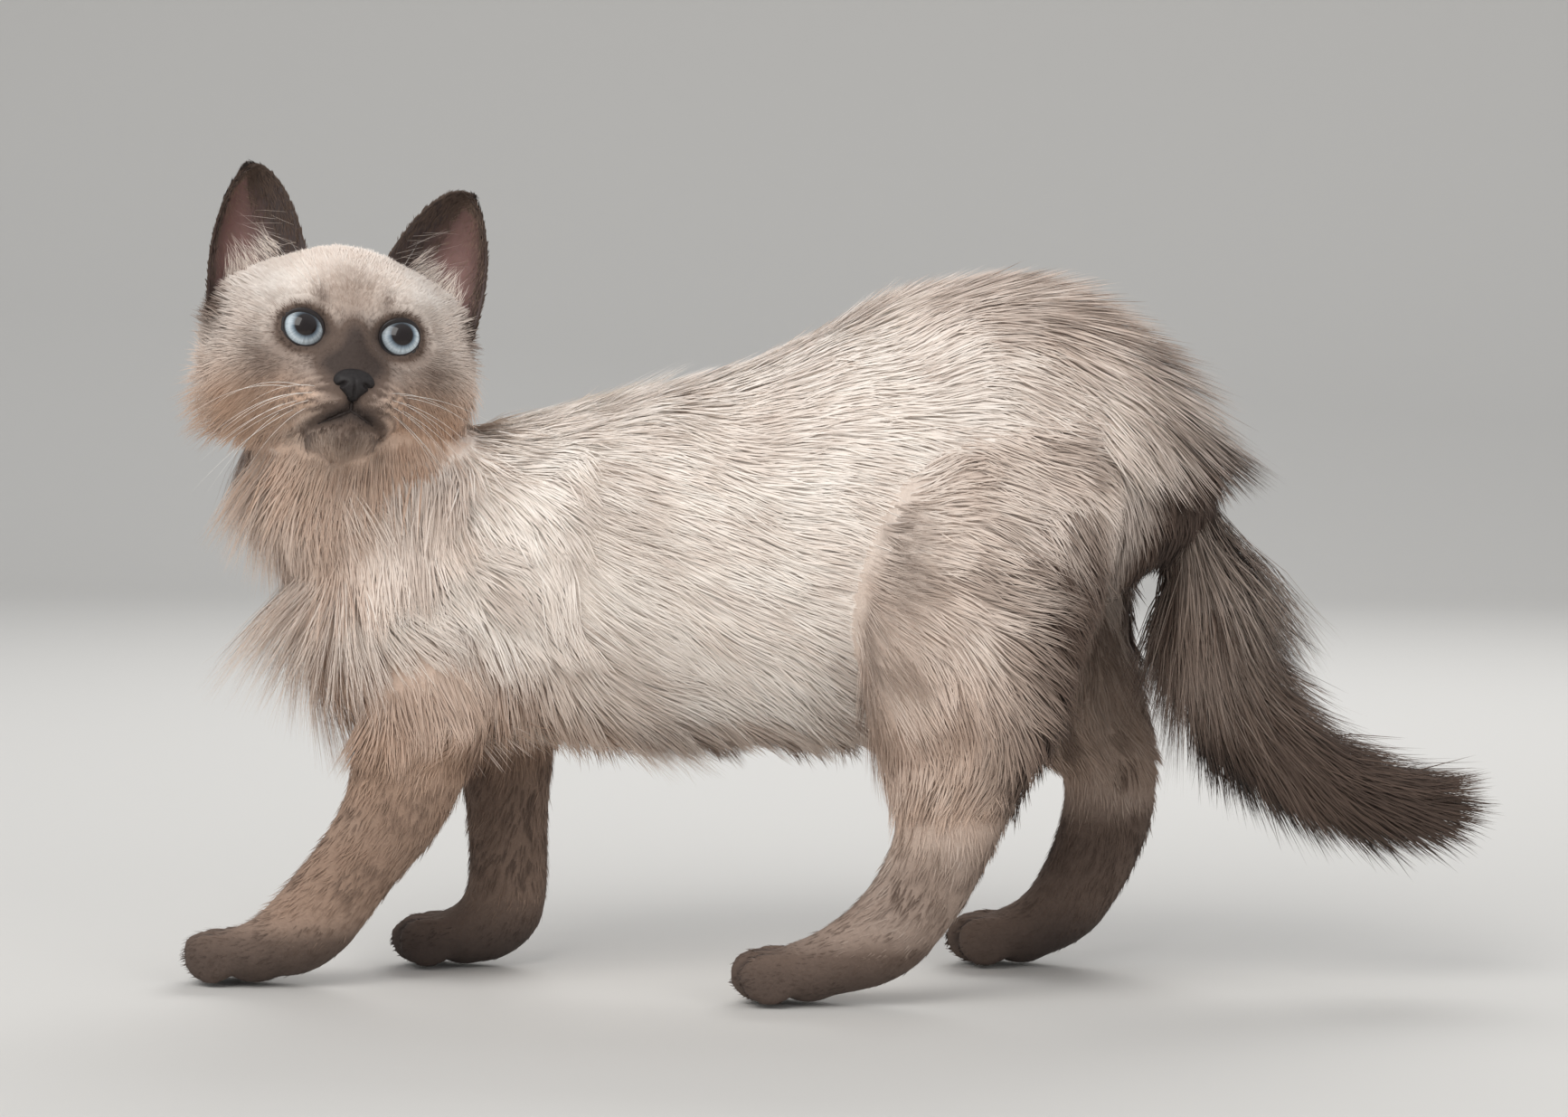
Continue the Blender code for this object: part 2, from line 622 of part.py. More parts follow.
def build():
    for old in list(bpy.data.objects):
        bpy.data.objects.remove(old)
    cream = finish_material("cream_coat", (0.80, 0.71, 0.63), 0.85)
    point = finish_material("blue_grey_coat", (0.30, 0.26, 0.25), 0.85)
    leg_coat = finish_material("dusky_leg_coat", (0.52, 0.43, 0.38), 0.85)
    leather = finish_material("nose_leather", (0.10, 0.09, 0.10), 0.5)
    glassy = finish_material("blue_eye", (0.45, 0.62, 0.72), 0.1)

    eyes = {}
    for side, sign in (("left", 1), ("right", -1)):
        eyes[side] = ball(f"eye_{side}", eye_middle(sign), (EYE_RADIUS,) * 3, glassy,
                          HEAD_TURNED, around=14, rings=8)
    nose = ball("nose", in_head(NOSE_MIDDLE), NOSE_HALF, leather, HEAD_TURNED, around=12, rings=8)
    combined(nose, [ball("nostril", in_head((NOSTRIL[0][0], s * NOSTRIL[0][1], NOSTRIL[0][2])),
                         NOSTRIL[1], leather, HEAD_TURNED, around=8, rings=6)
                    for s in (1, -1)], "DIFFERENCE")

    head = head_core("head", cream)
    combined(head, [ball("lids", eye_middle(s), (EYE_RADIUS + LID_THICK,) * 3, cream,
                         HEAD_TURNED, around=14, rings=8) for s in (1, -1)], "UNION")
    cuts = [lid_opening("opening", s, cream) for s in (1, -1)]
    cuts += [mouth_groove("groove", s, cream) for s in (1, -1)]
    combined(head, cuts, "DIFFERENCE")
    cuts = [ball("socket", eye_middle(s), (EYE_RADIUS + GAP,) * 3, cream, HEAD_TURNED,
                 around=14, rings=8) for s in (1, -1)]
    cuts.append(ball("nose_seat", in_head(NOSE_MIDDLE), tuple(h + GAP for h in NOSE_HALF), cream,
                     HEAD_TURNED, around=12, rings=8))
    combined(head, cuts, "DIFFERENCE")
    for side, sign in (("left", 1), ("right", -1)):
        leaf = ear(f"ear_{side}", sign, point)
        combined(leaf, [head_core("under_ear", point, grow=GAP)], "DIFFERENCE")

    legs = {
        "foreleg_left": (FORE_LEFT, leg_coat, (-166, -12.5), (-0.97, 0.24)),
        "foreleg_right": (FORE_RIGHT, leg_coat, (-109, 24), (-1.0, 0.0)),
        "hindleg_left": (HIND_LEFT, leg_coat, (2, -33), (-1.0, 0.0)),
        "hindleg_right": (HIND_RIGHT, leg_coat, (62, 41), (-1.0, 0.0)),
    }
    for name, (stations, material, end, heading) in legs.items():
        leg = loft(name, stations, 10, 2, material)
        combined(leg, toes(name, end, heading, material), "UNION")
        combined(leg, [floor_block("floor", material)], "DIFFERENCE")

    head_tree = surface_of(bpy.data.objects["head"])
    neck = loft("neck", NECK, 14, 2, cream)
    ruff = neck_locks(surface_of(neck), head_tree, random.Random(SEEDS["neck"]))
    combined(neck, [lock("ruff", rings, cream) for rings in ruff], "UNION")
    combined(neck, [head_core("under_neck", cream, grow=GAP)], "DIFFERENCE")
    coat = {"neck": ruff}

    whole_tail = loft("whole_tail", TAIL, 8, 2, point)
    tail_tree = surface_of(whole_tail)
    bpy.data.objects.remove(whole_tail)
    before = []
    for name, span in TAIL_LENGTHS.items():
        length = loft(name, TAIL, 8, 2, point, span=span)
        coat[name] = tail_locks(tail_tree, span, random.Random(SEEDS["tail"] + span[0]))
        combined(length, [lock("plume", rings, point) for rings in coat[name]], "UNION")
        combined(length, [lock("clear", rings, point, LOCK_GAP) for rings in before], "DIFFERENCE")
        before = before + coat[name]

    trees = [head_tree, surface_of(neck)]
    for name, (stations, material, _, _) in legs.items():
        leg = bpy.data.objects[name]
        trees.append(surface_of(leg))
        coat[name] = []
        if name.startswith("hind"):
            coat[name] = breech_locks(trees[-1], stations, random.Random(SEEDS["thighs"] + len(name)))
            combined(leg, [lock("breech", rings, material) for rings in coat[name]], "UNION")
        clear = [loft("clear", NECK, 14, 2, material, grow=GAP)]
        clear += [lock("clear", rings, material, LOCK_GAP) for rings in coat["neck"]]
        clear += [loft("clear", TAIL, 8, 2, material, grow=GAP)]
        clear += [lock("clear", rings, material, LOCK_GAP) for n in TAIL_LENGTHS for rings in coat[n]]
        combined(leg, clear, "DIFFERENCE")

    torso = loft("torso", TRUNK, 20, 1, cream)
    fur = trunk_locks(surface_of(torso), trees, random.Random(SEEDS["trunk"]))
    combined(torso, [lock("fur", rings, cream) for rings in fur], "UNION")
    clear = [loft("clear", legs[n][0], 10, 2, cream, grow=GAP) for n in legs]
    clear.append(loft("clear", NECK, 14, 2, cream, grow=GAP))
    clear.append(loft("clear", TAIL, 8, 2, cream, grow=GAP))
    clear.append(head_core("clear", cream, grow=GAP))
    clear += [lock("clear", rings, cream, LOCK_GAP) for rows in coat.values() for rings in rows]
    combined(torso, clear, "DIFFERENCE")


build()
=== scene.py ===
import json
import math

import bmesh
import bpy
import numpy as np
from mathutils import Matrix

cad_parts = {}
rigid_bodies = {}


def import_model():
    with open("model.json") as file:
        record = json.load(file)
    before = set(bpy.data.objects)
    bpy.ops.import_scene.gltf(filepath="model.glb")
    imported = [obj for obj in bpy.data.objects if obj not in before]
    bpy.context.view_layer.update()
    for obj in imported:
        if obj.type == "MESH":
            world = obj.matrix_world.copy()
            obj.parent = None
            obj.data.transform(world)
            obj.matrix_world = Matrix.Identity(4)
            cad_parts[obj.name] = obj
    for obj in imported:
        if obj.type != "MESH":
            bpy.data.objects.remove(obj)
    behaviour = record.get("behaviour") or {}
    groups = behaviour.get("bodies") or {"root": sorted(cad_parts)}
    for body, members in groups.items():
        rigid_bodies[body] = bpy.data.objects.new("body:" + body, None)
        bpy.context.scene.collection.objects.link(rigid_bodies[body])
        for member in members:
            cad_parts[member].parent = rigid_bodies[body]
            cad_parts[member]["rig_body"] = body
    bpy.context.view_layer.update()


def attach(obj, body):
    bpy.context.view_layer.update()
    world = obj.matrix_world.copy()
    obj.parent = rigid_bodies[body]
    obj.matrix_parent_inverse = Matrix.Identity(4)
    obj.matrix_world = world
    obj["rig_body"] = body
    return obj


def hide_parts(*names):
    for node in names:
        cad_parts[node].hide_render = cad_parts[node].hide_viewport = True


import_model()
print("kitten: frame loaded")

# Tables are in millimetres about a point under the cat's waist; the model's own origin is here.
standingMiddle = np.array([17.1, -4.9, 0.0])

# Each station: centre x, y, z, half width, then half depth to one side and to the other.
bodyStations = {
    "trunk": [
        (-146, -12, 112, 8, 9, 9), (-139, -11, 113, 22, 25, 22), (-124, -8, 115, 32, 38, 31),
        (-100, -4, 119, 38, 48, 39), (-74, 1, 121, 40, 51, 45), (-50, 3, 124, 41, 53, 50),
        (-25, 4, 129, 42, 54, 54), (0, 4, 133, 43, 57, 58), (25, 4, 139, 43, 60, 61),
        (50, 4, 147, 42, 64, 56), (75, 4, 152, 39, 60, 46), (98, 5, 153, 32, 45, 36),
        (115, 5, 153, 23, 28, 24), (127, 5, 154, 11, 12, 12),
    ],
    "neck": [
        (-101, -4, 124, 31, 38, 31), (-110, -7, 139, 33, 43, 32), (-118, -11, 154, 31, 40, 30),
        (-124, -15, 168, 33, 39.5, 33), (-126, -18, 181, 30, 32.5, 30),
    ],
    "foreNear": [
        (-98, -22, 124, 9, 18, 15), (-98, -24, 106, 13, 21, 19), (-101, -26, 90, 14, 21, 21),
        (-106, -27, 72, 13, 18.5, 21.5), (-114, -24.5, 55, 12, 17.5, 17.5), (-125, -21, 40, 11.5, 15.5, 14.8),
        (-136, -18, 26.5, 11.5, 16, 14.5), (-147, -15.5, 16, 12.5, 15, 13.4), (-158, -13.5, 10.4, 12.6, 9.8, 10.2),
        (-166, -12.5, 8.0, 10.6, 6.2, 6.6),
    ],
    "foreFar": [
        (-88, 23, 120, 9, 18, 16), (-88, 26, 104, 13, 21, 20), (-88, 28, 88, 13, 19, 20),
        (-88.5, 28, 68, 12.5, 17, 17.5), (-89, 26, 50, 11.5, 16, 14.5), (-89, 24.5, 35, 11, 16, 13),
        (-90.5, 24, 21, 11.5, 16.5, 12.5), (-96, 24, 13, 12, 14, 12.0), (-104, 24, 10.0, 12.2, 9.2, 9.8),
        (-109, 24, 8.0, 10.8, 6.2, 6.6),
    ],
    "hindNear": [
        (72, -20, 172, 11, 22, 22), (70, -27, 152, 16, 32, 33), (60, -31, 126, 18, 37, 37),
        (54, -34, 101, 16, 35, 32), (53, -35, 80, 13.5, 30, 28), (52.5, -35, 64, 11.5, 22, 22),
        (50, -34.5, 49, 10.5, 17, 18), (41, -34, 33, 10.5, 17, 14.8), (29, -33.5, 20.5, 11, 16.5, 13),
        (17, -33, 13, 12, 12.4, 12), (8, -33, 10.2, 12.4, 9.6, 10), (2, -33, 8.0, 10.8, 6.2, 6.6),
    ],
    "hindFar": [
        (72, 30, 170, 11, 22, 22), (73, 36, 150, 16, 30, 31), (72, 40, 124, 18, 34, 35),
        (76, 42, 101, 16, 31, 31), (87, 42, 83, 13, 24.5, 25), (96, 41.5, 67, 11, 17.5, 19),
        (95, 41, 51, 10.5, 19, 14.5), (88, 41, 33, 10.5, 19, 12), (81, 41, 20, 11, 16.5, 11.5),
        (74, 41, 12.8, 12, 12.6, 11), (67, 41, 10.2, 12.2, 9.6, 10), (62, 41, 8.0, 10.8, 6.2, 6.6),
    ],
    "tail": [
        (98, 5, 160.5, 9, 9, 9), (106, 5.5, 160.5, 9, 9, 9), (113.5, 6, 158, 9.5, 9.5, 9.5),
        (118.5, 7, 152.5, 10, 10, 10), (120.5, 8, 142, 10, 10, 10), (121, 8.5, 127, 10, 10, 10),
        (124, 9, 108, 10, 10, 10), (132, 10, 88, 9.5, 9.5, 9.5), (146, 11, 72, 9, 9, 9),
        (162, 12, 62, 8, 8, 8), (177, 13, 57, 7, 7, 7), (189, 14, 55, 5, 5, 5), (198, 14, 55, 2.5, 2.5, 2.5),
    ],
}
skinSettings = {
    "voxel": 1.45,            # mm between the skin's points
    "smoothing": 26,          # passes; the face and paws get a tenth of their weight
    "headInset": 1.6,         # how far the skin lies inside the solids, for the coat's depth
    "inset": {"trunk": 2.4, "neck": 4.2, "foreNear": 1.8, "foreFar": 1.8, "hindNear": 2.0,
              "hindFar": 2.0, "tail": 2.6},
    "toes": {"foreNear": (-166, -12.5, -0.97, 0.24), "foreFar": (-109, 24, -1.0, 0.0),
             "hindNear": (2, -33, -1.0, 0.0), "hindFar": (62, 41, -1.0, 0.0)},
}
# Toes: spacing, how far ahead the outer and inner ones reach, height, half sizes; then the paw behind them.
toeSettings = {"spacing": 6.2, "ahead": (2.6, 6.2), "height": 9.0, "half": (9.0, 2.9, 8.5),
               "pawHalf": (11.5, 11.6, 9.4)}
partNames = list(bodyStations) + ["head"]

# The head's own axes are forward out of the face, to the cat's left, and up.
headPose = {"turn": 19.5, "pitch": 9.0, "roll": 6.0, "eyes": (-120.2, -50.0, 197.4), "eyesFromMiddle": (29.1, 0, 4.0)}
eyeSettings = {
    "forward": 20.5, "aside": 14.0, "up": 2.9, "radius": 8.6,
    "halfWide": 5.5, "halfTall": 4.75, "slant": 16.0,
    "gazeAside": 3.0, "gazeUp": 5.0,
}
# Skin round an eye, by eyeOpening's number: inside "edge" it sinks behind the ball; up to "drawn" its points are
# drawn in to one clean oval; its bulge over the ball fades out between the two numbers of "fades".
lidSettings = {"edge": 1.12, "drawn": 1.7, "fades": (1.15, 1.9), "reach": 1.95, "sunk": 1.5, "proud": 0.35,
               "bulge": 0.8}
headForms = {
    "skull": ((-4, 0, 4), (33, 31, 30)),
    "cheek": ((4, 21.5, -9), (21, 18.5, 17)),
    "temple": ((-2, 22.5, 8), (18, 14.5, 16)),
    "brow": ((19, 13, 13), (8, 9, 7)),
    "bridge": ((27, 0, -3), (12, 6.5, 8)),
    "whiskerPad": ((31.5, 7.2, -17), (9.5, 8.5, 7.5)),
    "chin": ((28, 0, -25), (8.5, 7.5, 6)),
    "jaw": ((12, 0, -15), (20, 17, 14)),
}
headBlend = 4.0
# Soft swellings and hollows of the face: aside and up on it, their sizes, and their height in mm.
faceRelief = [
    ((9.0, -18.6), (5.8, 4.4), 2.3), ((0, -20.0), (1.5, 3.4), -1.8), ((0, -28.6), (6.0, 3.2), 1.5),
    ((11.0, -7.0), (4.6, 5.0), -1.3), ((15.5, 12.5), (8.0, 3.0), 0.9), ((0, 4.0), (4.0, 7.0), 0.7),
    ((23.0, -8.0), (7.0, 7.0), 0.8), ((16.5, -25.0), (3.5, 3.5), -0.8),
]
mouthLine = np.array([(0, -18.4), (0, -21.2), (2.4, -22.6), (5.2, -24.0), (8.2, -25.3), (11.2, -26.4)])


def unit(vectors):
    return vectors / np.maximum(np.linalg.norm(vectors, axis=-1, keepdims=True), 1e-9)


def smoothStep(low, high, value):
    # 3t^2 - 2t^3 of the share of the way from low to high
    t = np.clip((value - low) / (high - low), 0, 1)
    return t * t * (3 - 2 * t)


def toModel(points):
    return (np.asarray(points, float) - standingMiddle) * 0.001


def toTable(points):
    return np.asarray(points, float) * 1000 + standingMiddle


def headAxes():
    turn, pitch, roll = (math.radians(headPose[k]) for k in ("turn", "pitch", "roll"))
    level = np.array([math.sin(turn), -math.cos(turn), 0])
    left = np.array([math.cos(turn), math.sin(turn), 0])
    forward = level * math.cos(pitch) + np.array([0, 0, math.sin(pitch)])
    up = np.cross(forward, left)
    left = left * math.cos(roll) - up * math.sin(roll)
    return np.array([forward, left, np.cross(forward, left)])


headTurned = headAxes()        # rows: forward, left, up
headMiddle = np.array(headPose["eyes"]) - headTurned.T @ np.array(headPose["eyesFromMiddle"])


def fromHead(points):
    return headMiddle + np.asarray(points, float) @ headTurned


def intoHead(points):
    return (np.asarray(points, float) - headMiddle) @ headTurned.T


def throughStations(stations, steps):
    # Catmull-Rom: half of 2b + (c-a)t + (2a-5b+4c-d)t^2 + (3b-a-3c+d)t^3 between stations b and c
    s = np.asarray(stations, float)
    ends = np.vstack([s[:1], s, s[-1:]])
    a, b, c, d = (ends[k:k + len(s) - 1, None, :] for k in range(4))
    t = np.linspace(0, 1, steps, endpoint=False)[None, :, None]
    made = 0.5 * (2 * b + (c - a) * t + (2 * a - 5 * b + 4 * c - d) * t ** 2
                  + (3 * b - a - 3 * c + d) * t ** 3)
    return np.vstack([made.reshape(-1, s.shape[1]), s[-1:]])


def pathFrames(path, side=(0, 1, 0)):
    # along is the path's slope; across is the side direction made square to it; deep is along x across
    centres = path[:, :3]
    along = unit(np.gradient(centres, axis=0))
    across = unit(np.asarray(side, float) - along * (along @ np.asarray(side, float))[:, None])
    return centres, along, across, np.cross(along, across)


def loftGrid(stations, around, steps, inset=0.0, power=2.1):
    # ring point = centre + across w |cos|^(2/power) + deep d |sin|^(2/power), signs kept
    path = throughStations(stations, steps)
    centres, _, across, deep = pathFrames(path)
    turn = np.linspace(0, 2 * np.pi, around, endpoint=False)
    c, s = np.cos(turn), np.sin(turn)
    wide = np.sign(c) * np.abs(c) ** (2 / power) * np.maximum(path[:, 3] - inset, 1.0)[:, None]
    depth = np.where(s > 0, np.maximum(path[:, 4] - inset, 1.0)[:, None],
                     np.maximum(path[:, 5] - inset, 1.0)[:, None])
    tall = np.sign(s) * np.abs(s) ** (2 / power) * depth
    return centres[:, None] + across[:, None] * wide[..., None] + deep[:, None] * tall[..., None]


def gridFaces(rows, around):
    # four-sided faces between the rings of a grid that closes on itself
    a = np.arange(rows - 1)[:, None] * around + np.arange(around)[None]
    b = np.arange(rows - 1)[:, None] * around + (np.arange(around)[None] + 1) % around
    return np.stack([a, b, b + around, a + around], -1).reshape(-1, 4)


def headDepth(points):
    # soft union of ellipsoids: -blend ln(sum of exp(-d / blend)), with d the rough depth of each
    forms = [(m, h) for middle, h in headForms.values()
             for m in ([middle] if middle[1] == 0 else [middle, (middle[0], -middle[1], middle[2])])]
    total = np.zeros(len(points))
    for middle, half in forms:
        off = points - np.asarray(middle, float)
        near = np.sqrt(((off / half) ** 2).sum(1))
        slope = np.sqrt(((off / np.square(half)) ** 2).sum(1))
        total += np.exp(np.clip(-near * (near - 1) / np.maximum(slope, 1e-6) / headBlend, -60, 60))
    return -headBlend * np.log(np.maximum(total, 1e-30))


def fromMouth(aside, up):
    # least distance to the line of the lips, the same on both sides
    line = np.vstack([np.linspace(a, b, 8) for a, b in zip(mouthLine[:-1], mouthLine[1:])])
    flat = np.stack([np.abs(aside).ravel(), up.ravel()], -1)
    return np.sqrt(((flat[:, None] - line[None]) ** 2).sum(-1).min(1)).reshape(np.shape(aside))


def reliefOf(aside, up):
    # sum of height exp(-(distance / size)^2), less a groove of the same kind along the lips
    total = -1.7 * np.exp(-(fromMouth(aside, up) / 1.0) ** 2)
    for middle, size, height in faceRelief:
        total += height * np.exp(-((np.abs(aside) - middle[0]) / size[0]) ** 2 - ((up - middle[1]) / size[1]) ** 2)
    return total


def headReach(ways):
    # distance from the head's middle to its surface along each way, by halving the gap 24 times
    near, far = np.full(len(ways), 5.0), np.full(len(ways), 70.0)
    for _ in range(24):
        middle = (near + far) / 2
        within = headDepth(ways * middle[:, None]) < 0
        near, far = np.where(within, middle, near), np.where(within, far, middle)
    return near


def meshFromArrays(name, points, faces):
    mesh = bpy.data.meshes.new(name)
    faces = np.asarray(faces, np.int32)
    corners = faces.shape[1]
    mesh.vertices.add(len(points))
    mesh.vertices.foreach_set("co", np.asarray(points, np.float32).ravel())
    mesh.loops.add(faces.size)
    mesh.loops.foreach_set("vertex_index", faces.ravel())
    mesh.polygons.add(len(faces))
    mesh.polygons.foreach_set("loop_start", np.arange(0, faces.size, corners, dtype=np.int32))
    mesh.polygons.foreach_set("use_smooth", np.ones(len(faces), bool))
    mesh.update(calc_edges=True)
    mesh.validate()
    piece = bpy.data.objects.new(name, mesh)
    bpy.context.scene.collection.objects.link(piece)
    return piece


def readMesh(mesh):
    points = np.empty(len(mesh.vertices) * 3, np.float32)
    mesh.vertices.foreach_get("co", points)
    mesh.calc_loop_triangles()
    triangles = np.empty(len(mesh.loop_triangles) * 3, np.int32)
    mesh.loop_triangles.foreach_get("vertices", triangles)
    return points.reshape(-1, 3).astype(float), triangles.reshape(-1, 3)


def vertexNormals(points, triangles):
    # sum of the area-weighted normals of the triangles that meet at a point
    corner = points[triangles]
    face = np.cross(corner[:, 1] - corner[:, 0], corner[:, 2] - corner[:, 0])
    made = np.stack([sum(np.bincount(triangles[:, k], face[:, axis], len(points)) for k in range(3))
                     for axis in range(3)], -1)
    return unit(made)


def attribute(piece, name, values):
    made = piece.data.attributes.new(name, "FLOAT", "POINT")
    made.data.foreach_set("value", np.asarray(values, np.float32).ravel())


# skin
def eyeMiddle(sign):
    return np.array([eyeSettings["forward"], sign * eyeSettings["aside"], eyeSettings["up"]])


def eyePlane(points, sign):
    # a point's place across and up the slanted opening of one eye, and ahead of the eye's middle
    off = points - eyeMiddle(sign)
    slant = math.radians(eyeSettings["slant"]) * sign
    across = off[:, 1] * math.cos(slant) + off[:, 2] * math.sin(slant)
    upward = -off[:, 1] * math.sin(slant) + off[:, 2] * math.cos(slant)
    return across, upward, off[:, 0]


def eyeOpening(points, sign):
    # 1 on the edge of the lids' oval, less inside it
    across, upward, ahead = eyePlane(points, sign)
    opening = np.sqrt((across / eyeSettings["halfWide"]) ** 2 + (upward / eyeSettings["halfTall"]) ** 2)
    return across, upward, ahead, opening


def fromEyePlane(across, upward, ahead, sign):
    # the way back from eyePlane: a place in the head's axes
    slant = math.radians(eyeSettings["slant"]) * sign
    return eyeMiddle(sign) + np.stack([ahead, across * math.cos(slant) - upward * math.sin(slant),
                                       across * math.sin(slant) + upward * math.cos(slant)], -1)


def ballWays(rows, around):
    # unit vectors (cos a, sin a cos b, sin a sin b), with a from pole to pole and b round it
    lift = np.linspace(0, np.pi, rows)
    turn = np.linspace(0, 2 * np.pi, around, endpoint=False)
    return np.stack([np.cos(lift)[:, None] + 0 * turn, np.sin(lift)[:, None] * np.cos(turn),
                     np.sin(lift)[:, None] * np.sin(turn)], -1).reshape(-1, 3)


def roughForms():
    # the parts' lofts, the head and the toes as closed shells that overlap
    points, faces, start = [], [], 0
    for name, stations in bodyStations.items():
        grid = loftGrid(stations, 40, 6, skinSettings["inset"][name])
        rows, around = grid.shape[:2]
        closing = np.vstack([grid.reshape(-1, 3), grid[0].mean(0), grid[-1].mean(0)])
        sides = gridFaces(rows, around)
        k = np.arange(around)
        last = (rows - 1) * around
        caps = [np.stack([np.full(around, rows * around), k, (k + 1) % around, (k + 1) % around], -1),
                np.stack([np.full(around, rows * around + 1), last + (k + 1) % around, last + k, last + k], -1)]
        points.append(closing)
        faces += [tuple(f) for f in sides + start]
        faces += [tuple(f[:3]) for cap in caps for f in cap + start]
        start += len(closing)
    ways = ballWays(90, 120)
    head = fromHead(ways * (headReach(ways) - skinSettings["headInset"])[:, None])
    points.append(head)
    faces += [tuple(f) for f in gridFaces(90, 120) + start]
    start += len(head)
    # toes: four ellipsoids across the front of each paw, and a wider one for the paw behind them
    ball = ballWays(12, 16)
    for x, y, dx, dy in skinSettings["toes"].values():
        axes = np.array([[dx, dy, 0], [-dy, dx, 0], [0, 0, 1]])
        for k in range(4):
            aside, ahead = (k - 1.5) * toeSettings["spacing"], toeSettings["ahead"][k in (1, 2)]
            middle = np.array([x + dx * ahead - dy * aside, y + dy * ahead + dx * aside, toeSettings["height"]])
            points.append(middle + (ball * toeSettings["half"]) @ axes)
        points.append(np.array([x - dx * 8, y - dy * 8, 10.0]) + (ball * toeSettings["pawHalf"]) @ axes)
        for _ in range(5):
            faces += [tuple(f) for f in gridFaces(12, 16) + start]
            start += len(ball)
    return np.vstack(points), faces


def remeshed(points, faces):
    # one closed surface round all the shells, by Blender's voxel remesh: its points, quads and edges
    rough = bpy.data.meshes.new("roughSkin")
    rough.from_pydata(toModel(points).tolist(), [], [tuple(int(v) for v in f) for f in faces])
    rough.validate()
    holder = bpy.data.objects.new("roughSkin", rough)
    bpy.context.scene.collection.objects.link(holder)
    voxels = holder.modifiers.new("voxels", "REMESH")
    voxels.mode = "VOXEL"
    voxels.voxel_size = skinSettings["voxel"] * 0.001
    bpy.context.view_layer.update()
    made = holder.evaluated_get(bpy.context.evaluated_depsgraph_get()).to_mesh()
    points = np.empty(len(made.vertices) * 3, np.float32)
    made.vertices.foreach_get("co", points)
    quads = np.empty(len(made.polygons) * 4, np.int32)
    made.polygons.foreach_get("vertices", quads)
    edges = np.empty(len(made.edges) * 2, np.int32)
    made.edges.foreach_get("vertices", edges)
    holder.to_mesh_clear()
    bpy.data.objects.remove(holder)
    return toTable(points.reshape(-1, 3)), quads.reshape(-1, 4), edges.reshape(-1, 2)


def smoothed(points, edges):
    # each pass moves a point towards the mean of its neighbours, less on the face and the paws
    count = np.bincount(edges.ravel(), minlength=len(points))[:, None]
    inHead = intoHead(points)
    fine = smoothStep(6, 2, headDepth(inHead)) * smoothStep(-10, 5, inHead[:, 0])
    fine = np.maximum(fine, smoothStep(22, 12, points[:, 2]))
    strength = (0.62 * (1 - 0.9 * fine))[:, None]
    for _ in range(skinSettings["smoothing"]):
        total = np.stack([np.bincount(edges[:, 0], points[edges[:, 1], k], len(points))
                          + np.bincount(edges[:, 1], points[edges[:, 0], k], len(points)) for k in range(3)], -1)
        points = points + (total / count - points) * strength
    return points


def faceShaped(points):
    # the relief of the face, then the lids round each eye
    inHead = intoHead(points)
    isFace = (inHead[:, 0] > 6) & (headDepth(inHead) < 8)
    height = np.zeros(len(points))
    height[isFace] = reliefOf(inHead[isFace, 1], inHead[isFace, 2]) * smoothStep(8, 20, inHead[isFace, 0])
    inHead = inHead + unit(inHead) * height[:, None]
    # the skin sinks behind each eye inside the lids' opening, and stands proud of the eye round it
    radius, edge, last = eyeSettings["radius"], lidSettings["edge"], lidSettings["drawn"]
    for sign in (1, -1):
        across, upward, ahead, opening = eyeOpening(inHead, sign)
        reach = np.linalg.norm(inHead - eyeMiddle(sign), axis=1)
        near = (ahead > 0) & (opening < lidSettings["reach"]) & (reach < radius + 10)
        drawn = np.where(opening < edge, np.minimum(opening, 0.97),
                         np.where(opening < last, edge + (opening - edge) ** 2 / (last - edge), opening))
        scale = drawn / np.maximum(opening, 1e-6)
        y, z = across * scale, upward * scale
        # ahead = the lid's sphere near the opening, easing to the bare face's own place away from it
        fade = smoothStep(lidSettings["fades"][1], lidSettings["fades"][0], opening)
        over = radius + lidSettings["proud"] + lidSettings["bulge"] * smoothStep(1.1, last, drawn)
        lid = np.sqrt(np.maximum(over ** 2 - y ** 2 - z ** 2, 4.0))
        behind = np.sqrt(np.maximum((radius - lidSettings["sunk"]) ** 2 - y ** 2 - z ** 2, 1.0))
        x = np.where(opening < edge, behind, lid * fade + ahead * (1 - fade))
        moved = fromEyePlane(y, z, x, sign)
        inHead = np.where(near[:, None], moved, inHead)
    isHead = headDepth(intoHead(points)) < 12
    points = np.where(isHead[:, None], fromHead(inHead), points)
    points[:, 2] = np.maximum(points[:, 2], 0.5)
    return points


skinPoints, skinQuads, skinEdges = remeshed(*roughForms())
skin = meshFromArrays("skin", toModel(faceShaped(smoothed(skinPoints, skinEdges))), skinQuads)
skinPoints, skinTriangles = readMesh(skin.data)
skinPoints = toTable(skinPoints)
skinNormals = vertexNormals(skinPoints, skinTriangles)
print("kitten: skin,", len(skinTriangles), "triangles")


